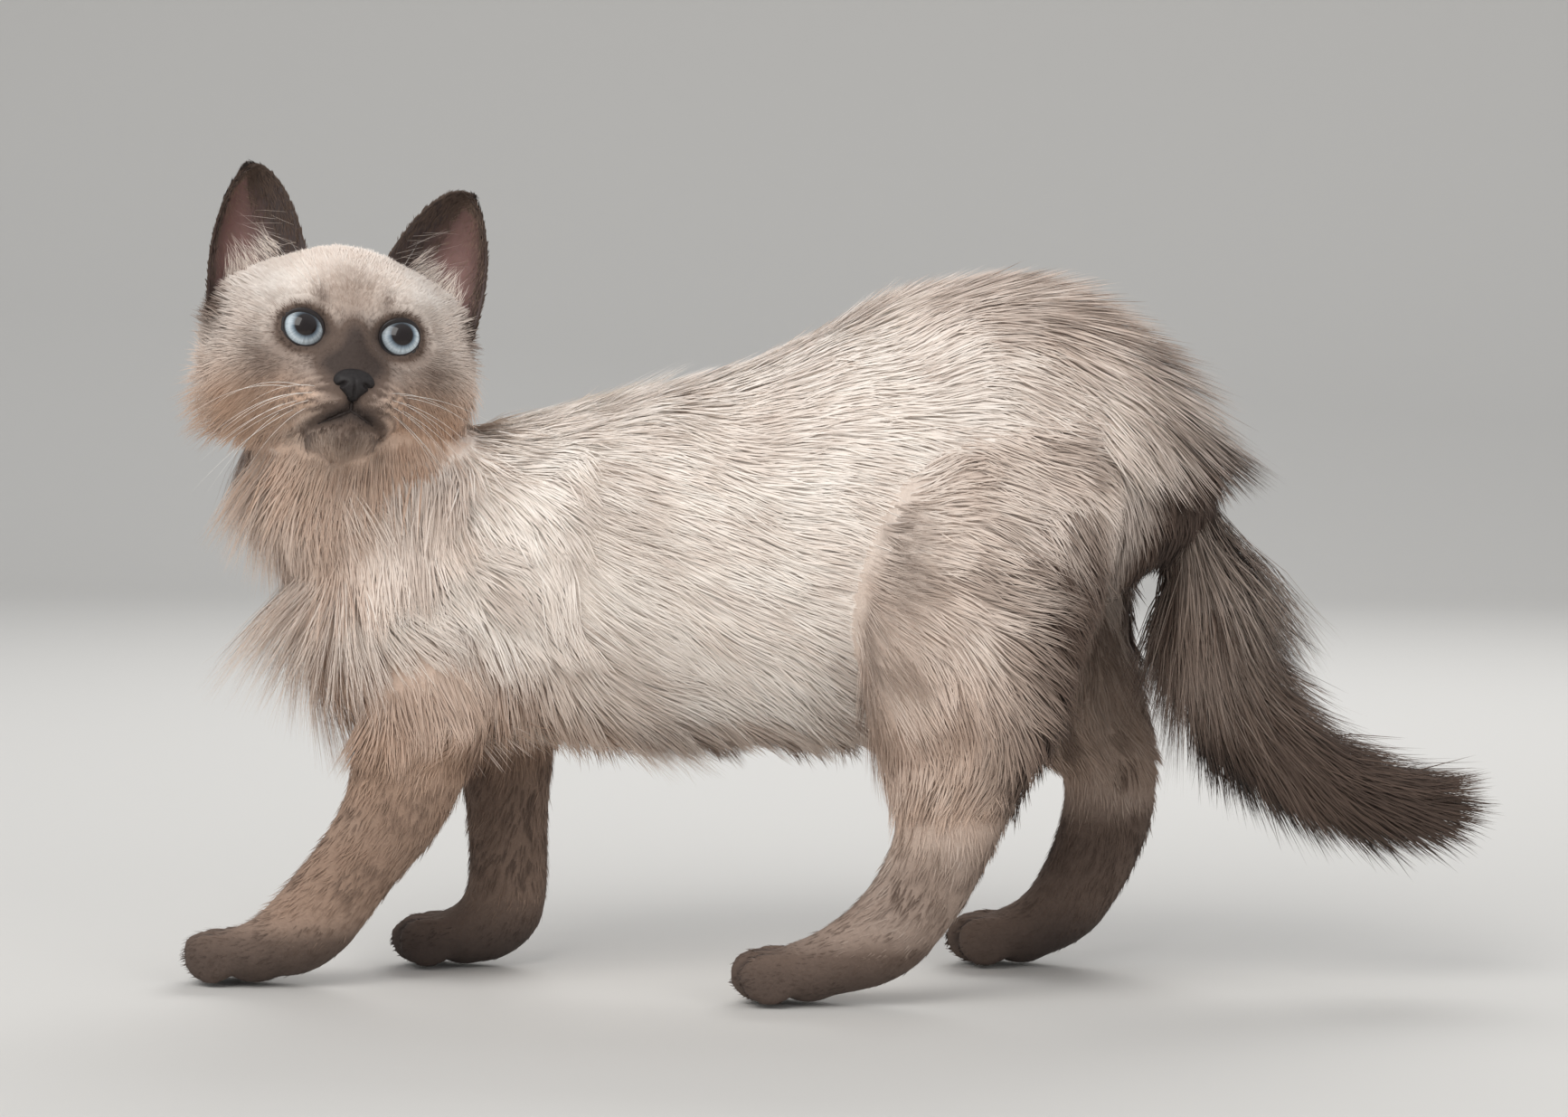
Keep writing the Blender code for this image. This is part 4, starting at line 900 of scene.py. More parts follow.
def coatRaised(name, points, normals):
    # how many degrees further the hair stands out: along the back, most at its high point, and the breeches
    x, y, z = points.T
    above = smoothStep(0.55, 0.95, normals[:, 2])
    if name.startswith("coatFlank"):
        behind = smoothStep(0.2, 0.7, normals[:, 0]) * smoothStep(150, 162, z)
        return 5.0 * above + 8.0 * above * smoothStep(48, 66, x) * smoothStep(96, 76, x) + 16.0 * behind
    if name == "coatShoulder":
        chest = 8.0 * smoothStep(-120, -142, x) + 22.0 * smoothStep(-120, -136, x) * smoothStep(108, 126, z)
        return 5.0 * above + chest
    if name == "coatRuff":
        sides = smoothStep(150, 172, z) * smoothStep(0.3, 0.9, np.abs(normals[:, 1]))
        return 3.0 * smoothStep(-116, -134, x) + 6.0 * sides
    if name == "coatCheeks":
        f, aside, up = intoHead(points).T
        return 3.0 * smoothStep(20, 32, np.abs(aside)) * smoothStep(-30, -10, up)
    if name == "coatTail":
        return 18.0 * smoothStep(0.1, 0.8, normals[:, 0]) * smoothStep(158, 136, z) * smoothStep(150, 130, x)
    return np.zeros(len(points))


def makeCoat():
    made = []
    for number, (name, plan) in enumerate(coatPlans.items()):
        look, seed = {**plainTuft, **plan}, 100 + number
        points, normals, part, share, turn, way = rootsOn(look["where"](), look["count"], seed)
        lie = layOfCoat(points, normals, part, way)
        rootRng = np.random.default_rng(seed + 50)
        length = coatLength(name, look["length"], points, normals, part, share)
        length = length * rootRng.uniform(0.72, 1.18, len(points))
        width = look["width"] * rootRng.uniform(0.7, 1.3, len(points))
        raised = coatRaised(name, points, normals)
        made.append(growTufts(name, points, normals, lie, length, width, look, raised, share, turn,
                              markings(points, part, share), seed))
    return made


coat = makeCoat()


# eyes
def surfaceOf(name, function, rows, columns, wrap=True):
    # a grid of (u, v) from 0 to 1 put through the function; with wrap the last column joins the first
    u = np.linspace(0, 1, rows)
    v = np.linspace(0, 1, columns, endpoint=not wrap)
    uu, vv = np.meshgrid(u, v, indexing="ij")
    points = function(uu, vv).reshape(-1, 3)
    if wrap:
        faces = gridFaces(rows, columns)
    else:
        a = (np.arange(rows - 1)[:, None] * columns + np.arange(columns - 1)[None]).reshape(-1)
        faces = np.stack([a, a + 1, a + columns + 1, a + columns], -1)
    return meshFromArrays(name, points, faces), uu.ravel(), vv.ravel()


def mended(piece):
    # joins doubled points and turns every face outwards
    shape = bmesh.new()
    shape.from_mesh(piece.data)
    bmesh.ops.remove_doubles(shape, verts=shape.verts, dist=1e-6)
    bmesh.ops.recalc_face_normals(shape, faces=shape.faces)
    shape.to_mesh(piece.data)
    shape.free()
    return piece


def closed(piece):
    # caps any open ring of edges
    shape = bmesh.new()
    shape.from_mesh(piece.data)
    bmesh.ops.holes_fill(shape, edges=[edge for edge in shape.edges if edge.is_boundary])
    bmesh.ops.recalc_face_normals(shape, faces=shape.faces)
    shape.to_mesh(piece.data)
    shape.free()
    return piece


def makeEye(name, sign):
    middle, radius = eyeMiddle(sign), eyeSettings["radius"]
    aside, upward = (math.radians(eyeSettings[k]) for k in ("gazeAside", "gazeUp"))
    gaze = unit(np.array([1.0, math.tan(aside), math.tan(upward)]))
    level = unit(np.cross([0, 0, 1.0], gaze))
    axes = np.array([gaze, level, np.cross(gaze, level)])

    def ball(u, v):
        # sphere about the eye's middle with its pole along the gaze, and a cornea raised by 0.5 mm
        lift, turn = np.pi * u ** 1.35, 2 * np.pi * v
        r = radius + 0.5 * smoothStep(7.2, 0, np.sin(lift) * radius) * (u < 0.5)
        way = np.stack([np.cos(lift), np.sin(lift) * np.cos(turn), np.sin(lift) * np.sin(turn)], -1)
        return toModel(fromHead(middle + (way @ axes) * r[..., None]))

    piece, u, v = surfaceOf(name, ball, 80, 90)
    attribute(piece, "fromPupil", np.where(u < 0.62, np.sin(np.pi * u ** 1.35) * radius, radius * 1.2))
    attribute(piece, "irisTurn", v)
    # the upper lid's shade on the eye
    upward = eyePlane(intoHead(toTable(readMesh(piece.data)[0])), sign)[1]
    attribute(piece, "lidShade", smoothStep(0.1, 1.0, upward / eyeSettings["halfTall"]))
    return mended(piece)


def makeLidRim(name, sign):
    radius = eyeSettings["radius"]

    def rim(u, v):
        # tube along the opening's oval on the eye's sphere, thicker above
        turn = 2 * np.pi * v
        above = np.maximum(np.sin(turn), 0)
        across = np.cos(turn) * eyeSettings["halfWide"] * 1.07
        upward = np.sin(turn) * eyeSettings["halfTall"] * (1.07 - 0.05 * above)
        proud = 0.12 + 0.34 * above
        x = np.sqrt(np.maximum((radius + proud) ** 2 - across ** 2 - upward ** 2, 4))
        centre = fromEyePlane(across, upward, x, sign) - eyeMiddle(sign)
        outward = unit(centre)
        away = unit(fromEyePlane(across, upward, 0 * x, sign) - eyeMiddle(sign))
        thick = 0.20 + 0.42 * above
        wide = np.cos(2 * np.pi * u) * thick * 1.2
        tall = np.sin(2 * np.pi * u) * thick * 0.9
        return toModel(fromHead(eyeMiddle(sign) + centre + away * wide[..., None] + outward * tall[..., None]))

    piece, _, _ = surfaceOf(name, rim, 13, 96)
    return mended(piece)


eyes = [makeEye("eyeLeft", 1), makeEye("eyeRight", -1)]
rims = [makeLidRim("lidRimLeft", 1), makeLidRim("lidRimRight", -1)]


# nose, mouth and whiskers
noseSettings = {"middle": (39.6, 0, -14.2), "half": (4.4, 6.2, 4.7), "nostril": (3.6, -0.5), "nostrilSize": (1.2, 0.7)}


def makeNose():
    middle, half = np.array(noseSettings["middle"], float), noseSettings["half"]

    def pad(u, v):
        # ellipsoid that narrows to the lip below, dented at each nostril and down the middle
        lift, turn = np.pi * u, 2 * np.pi * v
        x, y, z = np.cos(lift), np.sin(lift) * np.cos(turn), np.sin(lift) * np.sin(turn)
        y = np.sign(y) * np.abs(y) ** 0.85 * (1 - 0.58 * smoothStep(0.15, -1.0, z))
        x = x * (1 - 0.25 * smoothStep(0.1, 1.0, z))
        p = np.stack([x * half[0], y * half[1], z * half[2]], -1)
        for sign in (1, -1):
            along = p[..., 1] * sign - noseSettings["nostril"][0]
            above = p[..., 2] - noseSettings["nostril"][1] + 0.35 * along
            wide, tall = noseSettings["nostrilSize"]
            dent = np.exp(-((along / wide) ** 2 + (above / tall) ** 2) ** 1.5)
            wing = np.exp(-((p[..., 1] * sign - 4.6) / 1.3) ** 2 - ((p[..., 2] - 2.2) / 1.0) ** 2)
            p[..., 0] += (0.2 * wing - 1.4 * dent) * (x > 0)
        groove = np.exp(-(p[..., 1] / 0.4) ** 2) * smoothStep(0.5, -0.6, z) * (x > 0)
        p[..., 0] -= 0.8 * groove
        return toModel(fromHead(middle + p))

    piece, _, _ = surfaceOf("noseLeather", pad, 80, 96)
    return mended(piece)


nose = makeNose()


def faceSurface(aside, up, proud=0.0):
    # the skin's own place ahead at a place across and up: the mean of its three nearest points there
    front = inHeadSkin[inHeadSkin[:, 0] > 12]
    gap = (front[:, 1, None] - aside) ** 2 + (front[:, 2, None] - up) ** 2
    ahead = front[np.argpartition(gap, 3, axis=0)[:3], 0].mean(0)
    return np.stack([ahead + proud, aside, up], -1)


def makeMouth():
    made = []
    for name, sign in (("lipLeft", 1), ("lipRight", -1)):
        line = throughStations(mouthLine, 6)
        centre = faceSurface(sign * line[:, 0], line[:, 1], 0.1)
        along = unit(np.gradient(centre, axis=0))
        out = np.array([1.0, 0, 0]) - along * along[:, :1]
        across = np.cross(along, out)
        share = np.linspace(0, 1, len(centre))
        centre[:, 0] -= 0.8 * share ** 6
        thick = 0.42 * np.sin(np.pi * (share * 0.93 + 0.05)) ** 0.5

        def lip(u, v):
            # tube along the line of the lips, thinning at both ends; u runs round it and v along it
            row = np.round(v * (len(centre) - 1)).astype(int)
            return toModel(fromHead(centre[row] + across[row] * (np.cos(2 * np.pi * u) * thick[row])[..., None]
                                    + out[row] * (np.sin(2 * np.pi * u) * thick[row])[..., None]))

        piece, _, _ = surfaceOf(name, lip, 9, len(centre), wrap=False)
        made.append(closed(mended(piece)))
    return made


mouth = makeMouth()


def makeStrands(name, roots, ways, lengths, thickness, sag):
    # whiskers: rings of three points along root + way s + down sag s^2, tapering to a point
    count, rings = len(roots), 12
    s = np.linspace(0, 1, rings + 1)
    path = roots[:, None] + ways[:, None] * (s[None, :, None] * lengths[:, None, None])
    path[..., 2] -= sag[:, None] * s[None] ** 2 * lengths[:, None]
    along = unit(np.gradient(path, axis=1))
    side = unit(np.cross(along, np.array([0.1, 0.2, 1.0])))
    other = np.cross(along, side)
    radius = (thickness[:, None] * (1 - s[None]) ** 0.8)[:, :-1, None]
    rings3 = np.stack([path[:, :-1] + radius * (side[:, :-1] * math.cos(a) + other[:, :-1] * math.sin(a))
                       for a in (0, 2.094, 4.189)], 2)
    each = rings * 3 + 1
    points = np.concatenate([rings3.reshape(count, -1, 3), path[:, -1:]], 1)
    faces = []
    for r in range(rings - 1):
        for k in range(3):
            a, b = 3 * r + k, 3 * r + (k + 1) % 3
            faces += [(a, b, b + 3), (a, b + 3, a + 3)]
    top = 3 * (rings - 1)
    faces += [(top + k, top + (k + 1) % 3, each - 1) for k in range(3)] + [(0, 2, 1)]
    faces = (np.arange(count)[:, None, None] * each + np.array(faces)[None]).reshape(-1, 3)
    return mended(meshFromArrays(name, toModel(points.reshape(-1, 3)), faces))


def makeWhiskers():
    # four rows on each pad that fan out sideways and droop, and a few hairs above each eye
    whiskerRng = np.random.default_rng(31)
    roots, ways, lengths, sag = [], [], [], []
    for sign in (1, -1):
        for row in range(4):
            for k in range(3):
                aside = 11.0 + 2.8 * k + 0.5 * row
                up = -15.6 - 2.0 * row + 0.2 * k
                spread = np.array([0.12 - 0.16 * k, sign * 1.0, 0.10 - 0.24 * row - 0.04 * k])
                spread = spread + whiskerRng.normal(0, 0.06, 3)
                place = faceSurface(np.array([sign * aside]), np.array([up]))
                roots.append(fromHead(place)[0])
                ways.append(unit(spread) @ headTurned)
                lengths.append(whiskerRng.uniform(18, 29) + 7 * (k > 0))
                sag.append(whiskerRng.uniform(0.25, 0.6))
        for k in range(3):
            place = faceSurface(np.array([sign * (10 + 1.8 * k)]), np.array([15.5 + 0.4 * k]))
            roots.append(fromHead(place)[0])
            ways.append(unit(np.array([0.30, sign * (0.35 + 0.25 * k), 0.9])) @ headTurned)
            lengths.append(whiskerRng.uniform(12, 20))
            sag.append(0.1)
    return makeStrands("whiskers", np.array(roots), np.array(ways), np.array(lengths),
                       np.full(len(roots), 0.08), np.array(sag))


whiskers = makeWhiskers()
print("kitten: eyes, nose, mouth and whiskers")


# ears
earSettings = {"inner": (2, 11.5, 29), "outer": (1, 39, 7), "tips": {1: (-1, 36.4, 52.0), -1: (-1, 31.2, 53.4)},
               "cup": 11.0, "thick": 1.3}
# Hair on each ear: how many, where (low and high share up the ear and across it from the inner edge, or on both
# edges), length, width, lean, dark and warm, its way as shares up and across, the side that it grows on (1 inside,
# -1 behind, 0 on the edge), its rings, and how far its tips gather.
earHair = {
    "Back": {"count": 1400, "up": (0.0, 0.97), "over": (0.0, 1.0), "length": 3.2, "width": 0.38, "lean": (10, 4),
             "dark": 0.74, "warm": 0.4, "way": (1.0, 0.0), "side": -1, "rings": 2, "gather": 0.3},
    "Edge": {"count": 900, "up": (0.02, 0.97), "over": None, "length": 2.2, "width": 0.30, "lean": (14, 6),
             "dark": 0.78, "warm": 0.4, "way": (1.0, 0.3), "side": 0, "rings": 2, "gather": 0.2},
    "Band": {"count": 1300, "up": (0.05, 0.95), "over": (0.0, 0.38), "length": 2.8, "width": 0.28, "lean": (10, 4),
             "dark": 0.70, "warm": 0.5, "way": (0.9, -0.4), "side": 1, "rings": 2, "gather": 0.2},
    "Outer": {"count": 500, "up": (0.02, 0.95), "over": (0.88, 1.0), "length": 2.6, "width": 0.28, "lean": (10, 4),
              "dark": 0.70, "warm": 0.5, "way": (0.95, 0.2), "side": 1, "rings": 2, "gather": 0.2},
    "Crown": {"count": 700, "up": (0.66, 0.97), "over": (0.1, 1.0), "length": 2.6, "width": 0.26, "lean": (10, 4),
              "dark": 0.60, "warm": 0.7, "way": (1.0, 0.1), "side": 1, "rings": 2, "gather": 0.2},
    "Fuzz": {"count": 700, "up": (0.12, 0.90), "over": (0.25, 0.98), "length": 4.0, "width": 0.12, "lean": (10, 5),
             "dark": 0.48, "warm": 1.0, "way": (0.8, 0.6), "side": 1, "rings": 2, "gather": 0.0},
    "Inner": {"count": 300, "up": (0.0, 0.11), "over": (0.16, 0.80), "length": 10.0, "width": 0.13, "lean": (34, 16),
              "dark": 0.03, "warm": 0.25, "way": (0.9, 0.35), "side": 1, "rings": 3, "gather": 0.45},
    "Long": {"count": 16, "up": (0.03, 0.24), "over": (0.02, 0.24), "length": 17.0, "width": 0.06, "lean": (26, 12),
             "dark": 0.0, "warm": 0.3, "way": (0.7, 0.8), "side": 1, "rings": 4, "gather": 0.0},
    "Tip": {"count": 14, "up": (0.92, 0.96), "over": (0.1, 0.9), "length": 4.5, "width": 0.12, "lean": (16, 10),
            "dark": 0.5, "warm": 0.6, "way": (1.0, 0.2), "side": 1, "rings": 3, "gather": 0.0},
}


def earGrid(sign, u, v):
    # u runs from base to tip: height share 1 - (1-u)^2, width share 1-u, so the tip is round;
    # v runs from the inner edge to the outer, and the middle bows back by cup (1 - t^2)
    inner, outer = (np.array(earSettings[k], float) for k in ("inner", "outer"))
    tip = np.array(earSettings["tips"][sign], float)
    rise, width = (1 - (1 - u) ** 2)[..., None], (1 - u)[..., None]
    bulge = np.sin(np.pi * rise)
    t = 2 * v - 1
    centre = (inner + outer) / 2 + (tip - (inner + outer) / 2) * rise
    half = (outer - inner) / 2 * width
    p = centre + half * t[..., None] + bulge * (np.array([0, 0.7, 1.2]) + np.array([0, 1.0, -0.5]) * t[..., None])
    wide = 2 * np.linalg.norm(half, axis=-1)
    p = p + np.array([-1.0, 0.12, 0.05]) * (earSettings["cup"] * (1 - t * t) * np.minimum(1, wide / 24))[..., None]
    return p * np.array([1, sign, 1])


def makeEar(name, sign):
    u = np.linspace(0, 1, 44)
    v = np.linspace(0, 1, 33)
    uu, vv = np.meshgrid(u, v, indexing="ij")
    sheet = earGrid(sign, np.minimum(uu, 0.975), vv)
    along, across = np.gradient(sheet, axis=(0, 1))
    normal = unit(np.cross(across, along)) * sign
    t = 2 * vv - 1
    half = (0.3 + 0.7 * (1 - t * t)) * earSettings["thick"] / 2 * (0.4 + 0.6 * (1 - uu))
    front = sheet + normal * half[..., None]
    back = sheet - normal * half[..., None]
    rows, columns = sheet.shape[:2]
    ring = np.concatenate([front, back[:, ::-1]], 1)
    faces = gridFaces(rows, 2 * columns)
    k = np.arange(columns - 1)
    last = (rows - 1) * 2 * columns
    behind = 2 * columns - 1 - k
    caps = np.concatenate([np.stack([k, behind, behind - 1, k + 1], -1),
                           np.stack([last + k, last + k + 1, last + behind - 1, last + behind], -1)])
    piece = meshFromArrays(name, toModel(fromHead(ring.reshape(-1, 3))), np.concatenate([faces, caps]))
    inside = np.concatenate([np.ones((rows, columns)), np.zeros((rows, columns))], 1)
    attribute(piece, "inside", inside)
    attribute(piece, "earUp", np.repeat((1 - (1 - u) ** 2)[:, None], 2 * columns, 1))
    attribute(piece, "earOver", np.concatenate([vv, vv[:, ::-1]], 1))
    return mended(piece), sheet, normal


def earFur(name, sign, sheet, normal):
    # each kind of hair is rooted at random places of the ear's own grid and combed by its shares
    furRng = np.random.default_rng(60 + sign)
    rows, columns = sheet.shape[:2]
    along, across = np.gradient(sheet, axis=(0, 1))
    along, across = unit(along), unit(across)
    made = []
    for label, hair in earHair.items():
        count = hair["count"]
        low, high = hair["up"]
        r = np.minimum(furRng.uniform(low, high, count) * (rows - 1), rows - 2)
        if hair["over"] is None:
            c = np.where(furRng.uniform(0, 1, count) < 0.5, 0, columns - 1).astype(float)
        else:
            c = np.minimum(furRng.uniform(*hair["over"], count) * (columns - 1), columns - 2)
        i, j = np.minimum(r.astype(int), rows - 2), np.minimum(c.astype(int), columns - 2)
        a, b = (r - i)[:, None], (c - j)[:, None]

        def blend(grid):
            return ((grid[i, j] * (1 - b) + grid[i, j + 1] * b) * (1 - a)
                    + (grid[i + 1, j] * (1 - b) + grid[i + 1, j + 1] * b) * a)

        place, n, up, over = blend(sheet), unit(blend(normal)), unit(blend(along)), unit(blend(across))
        if hair["side"] == 0:
            outward = over * np.where(c < 1, -1, 1)[:, None]
            out, way = unit(outward * 0.8 + n * 0.3), up * hair["way"][0] + outward * hair["way"][1]
        else:
            out, way = n * hair["side"], up * hair["way"][0] + over * hair["way"][1]
            place = place + out * 0.3
        normals = unit(out @ headTurned)
        ways = way @ headTurned
        ways = unit(ways - normals * (ways * normals).sum(1, keepdims=True))
        length = hair["length"] * furRng.uniform(0.4, 1.15, count)
        look = {**plainTuft, **hair, "ruffle": 6, "stray": 12, "sweep": 5, "sunk": 0.0,
                "lock": 10, "reach": 2.5, "wave": 0.02, "waves": 0.7, "roll": 0.5, "guards": 0.0}
        shade = (np.full(count, hair["dark"]), np.full(count, hair["warm"]))
        width = hair["width"] * furRng.uniform(0.75, 1.2, count)
        made.append(growTufts(name + label, fromHead(place), normals, ways, length, width, look, np.zeros(count),
                              r / rows, (c / columns - 0.5) * 2 * np.pi, shade, 70 + sign))
    return made


earLeft, sheetLeft, normalLeft = makeEar("earLeft", 1)
earRight, sheetRight, normalRight = makeEar("earRight", -1)
coat += earFur("earFurLeft", 1, sheetLeft, normalLeft)
coat += earFur("earFurRight", -1, sheetRight, normalRight)
print("kitten: ears")


# materials
def newMaterial(name):
    made = bpy.data.materials.new(name)
    made.use_nodes = True
    return made, made.node_tree, made.node_tree.nodes["Principled BSDF"]


def put(tree, kind, x=0, y=0, **values):
    node = tree.nodes.new(kind)
    node.location = (x, y)
    for key, value in values.items():
        if key.startswith("in_"):
            node.inputs[int(key[3:])].default_value = value
        else:
            setattr(node, key, value)
    return node


def readValue(tree, name, x, y):
    return put(tree, "ShaderNodeAttribute", x, y, attribute_name=name).outputs["Fac"]


def mathNode(tree, operation, a, b, x, y):
    node = put(tree, "ShaderNodeMath", x, y, operation=operation)
    for k, value in enumerate((a, b)):
        if isinstance(value, (int, float)):
            node.inputs[k].default_value = value
        else:
            tree.links.new(value, node.inputs[k])
    return node.outputs[0]


def mixColour(tree, factor, a, b, x, y, blend="MIX"):
    node = put(tree, "ShaderNodeMix", x, y, data_type="RGBA", blend_type=blend)
    for socket, value in ((node.inputs["Factor"], factor), (node.inputs["A"], a), (node.inputs["B"], b)):
        if isinstance(value, (int, float)):
            socket.default_value = value
        elif isinstance(value, tuple):
            socket.default_value = (*value, 1)
        else:
            tree.links.new(value, socket)
    return node.outputs["Result"]


def onObject(tree, kind, x, y, **values):
    # a pattern node that reads the piece's own place
    node = put(tree, kind, x, y, **values)
    tree.links.new(put(tree, "ShaderNodeTexCoord", x - 200, y).outputs["Object"], node.inputs["Vector"])
    return node


def mapped(tree, value, x, y, start, end, low=0.0, high=1.0):
    # the value's share of the way from start to end, turned into one from low to high
    node = put(tree, "ShaderNodeMapRange", x, y, in_1=start, in_2=end, in_3=low, in_4=high)
    tree.links.new(value, node.inputs["Value"])
    return node.outputs[0]


def timesValue(tree, colour, value, x, y):
    # the colour times a grey of the value
    grey = put(tree, "ShaderNodeCombineColor", x, y - 300)
    for k in range(3):
        tree.links.new(value, grey.inputs[k])
    return mixColour(tree, 1.0, colour, grey.outputs["Color"], x + 150, y, "MULTIPLY")


def addBump(tree, surface, height, distance, strength=1.0):
    bump = put(tree, "ShaderNodeBump", -200, -400)
    bump.inputs["Strength"].default_value = strength
    bump.inputs["Distance"].default_value = distance
    tree.links.new(height, bump.inputs["Height"])
    tree.links.new(bump.outputs["Normal"], surface.inputs["Normal"])


def setSurface(surface, **values):
    # values set on the shader's own sockets, with their names run together
    for socket in surface.inputs:
        key = socket.name.replace(" ", "")
        if key in values:
            socket.default_value = values.pop(key)
    assert not values


coatColours = {
    "cream": (0.93, 0.865, 0.80), "tan": (0.62, 0.41, 0.29),
    "grey": (0.26, 0.178, 0.135), "slate": (0.050, 0.035, 0.029),
}


def coatColourGroup():
    # cream to tan by warm, then through grey to slate by dark; noise over the body breaks both up
    group = bpy.data.node_groups.new("coatColour", "ShaderNodeTree")
    for name in ("Dark", "Warm", "Tone"):
        group.interface.new_socket(name, in_out="INPUT", socket_type="NodeSocketFloat")
    group.interface.new_socket("Color", in_out="OUTPUT", socket_type="NodeSocketColor")
    given, result = put(group, "NodeGroupInput", -900, 0), put(group, "NodeGroupOutput", 700, 0)
    patches = onObject(group, "ShaderNodeTexNoise", -700, -300, in_2=55.0, in_3=3.0)
    sway = mathNode(group, "SUBTRACT", patches.outputs["Fac"], 0.5, -500, -300)
    toneSway = mathNode(group, "SUBTRACT", given.outputs["Tone"], 0.5, -700, -100)
    swayed = {}
    for name, byPlace, byTone, y in (("Warm", 0.35, 0.22, -100), ("Dark", 0.08, 0.14, -450)):
        value = given.outputs[name]
        for x, number, amount in ((-350, sway, byPlace), (-50, toneSway, byTone)):
            value = mathNode(group, "ADD", value, mathNode(group, "MULTIPLY", number, amount, x, y), x + 150, y)
        swayed[name] = value
    warm, dark = swayed["Warm"], swayed["Dark"]
    base = mixColour(group, warm, coatColours["cream"], coatColours["tan"], 100, 0)
    ramp = put(group, "ShaderNodeValToRGB", 100, -350)
    ramp.color_ramp.elements[0].position = 0.0
    ramp.color_ramp.elements[0].color = (*coatColours["grey"], 1)
    ramp.color_ramp.elements[1].position = 0.95
    ramp.color_ramp.elements[1].color = (*coatColours["slate"], 1)
    group.links.new(dark, ramp.inputs["Fac"])
    amount = mapped(group, dark, 100, -600, 0.0, 0.60)
    colour = mixColour(group, amount, base, ramp.outputs["Color"], 400, 0)
    group.links.new(colour, result.inputs["Color"])
    return group


colourGroup = coatColourGroup()


def coatMaterial(name, roughness, tipLight, rootShade):
    made, tree, surface = newMaterial(name)
    group = put(tree, "ShaderNodeGroup", -600, 200)
    group.node_tree = colourGroup
    for key, value in (("Dark", "dark"), ("Warm", "warm"), ("Tone", "tone")):
        tree.links.new(readValue(tree, value, -900, 300), group.inputs[key])
    light = mapped(tree, readValue(tree, "rootTip", -900, -100), -600, -100, 0.0, 0.7, rootShade, tipLight)
    tone = readValue(tree, "tone", -900, -400)
    vary = mapped(tree, tone, -600, -400, 0.0, 1.0, 0.94, 1.04)
    # fine hairs across each tuft: stripes by place across it, shifted by its own number
    strand = mathNode(tree, "ADD", mathNode(tree, "MULTIPLY", readValue(tree, "strand", -900, -600), 4.0, -700, -600),
                      mathNode(tree, "MULTIPLY", tone, 80.0, -700, -750), -550, -600)
    hairs = put(tree, "ShaderNodeTexNoise", -400, -600, noise_dimensions="1D", in_2=1.0, in_3=2.0)
    tree.links.new(strand, hairs.inputs["W"])
    hairLight = mapped(tree, hairs.outputs["Fac"], -200, -600, 0.3, 0.7, 0.94, 1.04)
    total = mathNode(tree, "MULTIPLY", mathNode(tree, "MULTIPLY", light, vary, -300, -200), hairLight, -100, -200)
    tree.links.new(timesValue(tree, group.outputs["Color"], total, 0, 100), surface.inputs["Base Color"])
    setSurface(surface, Roughness=roughness, SpecularIORLevel=0.22, SheenWeight=0.12, SheenRoughness=0.4)
    return made


def skinMaterial():
    made, tree, surface = newMaterial("undercoat")
    group = put(tree, "ShaderNodeGroup", -600, 200)
    group.node_tree = colourGroup
    for key, value in (("Dark", "dark"), ("Warm", "warm")):
        tree.links.new(readValue(tree, value, -900, 300), group.inputs[key])
    group.inputs["Tone"].default_value = 0.5
    fuzz = onObject(tree, "ShaderNodeTexNoise", -800, -200, in_2=900.0, in_3=4.0)
    shade = mapped(tree, fuzz.outputs["Fac"], -500, -200, 0.3, 0.7, 0.94, 1.06)
    tree.links.new(timesValue(tree, group.outputs["Color"], shade, -300, 100), surface.inputs["Base Color"])
    addBump(tree, surface, fuzz.outputs["Fac"], 0.0006, 0.5)
    setSurface(surface, Roughness=0.9)
    return made


# The eye's colour by the distance from the pupil's middle, as a share of 10 mm.
eyeRings = [(0.0, (0.010, 0.006, 0.006)), (0.295, (0.012, 0.007, 0.006)), (0.33, (0.09, 0.12, 0.15)),
            (0.39, (0.27, 0.33, 0.38)), (0.46, (0.50, 0.565, 0.605)), (0.54, (0.33, 0.385, 0.42)),
            (0.575, (0.03, 0.032, 0.035)), (1.0, (0.02, 0.018, 0.018))]


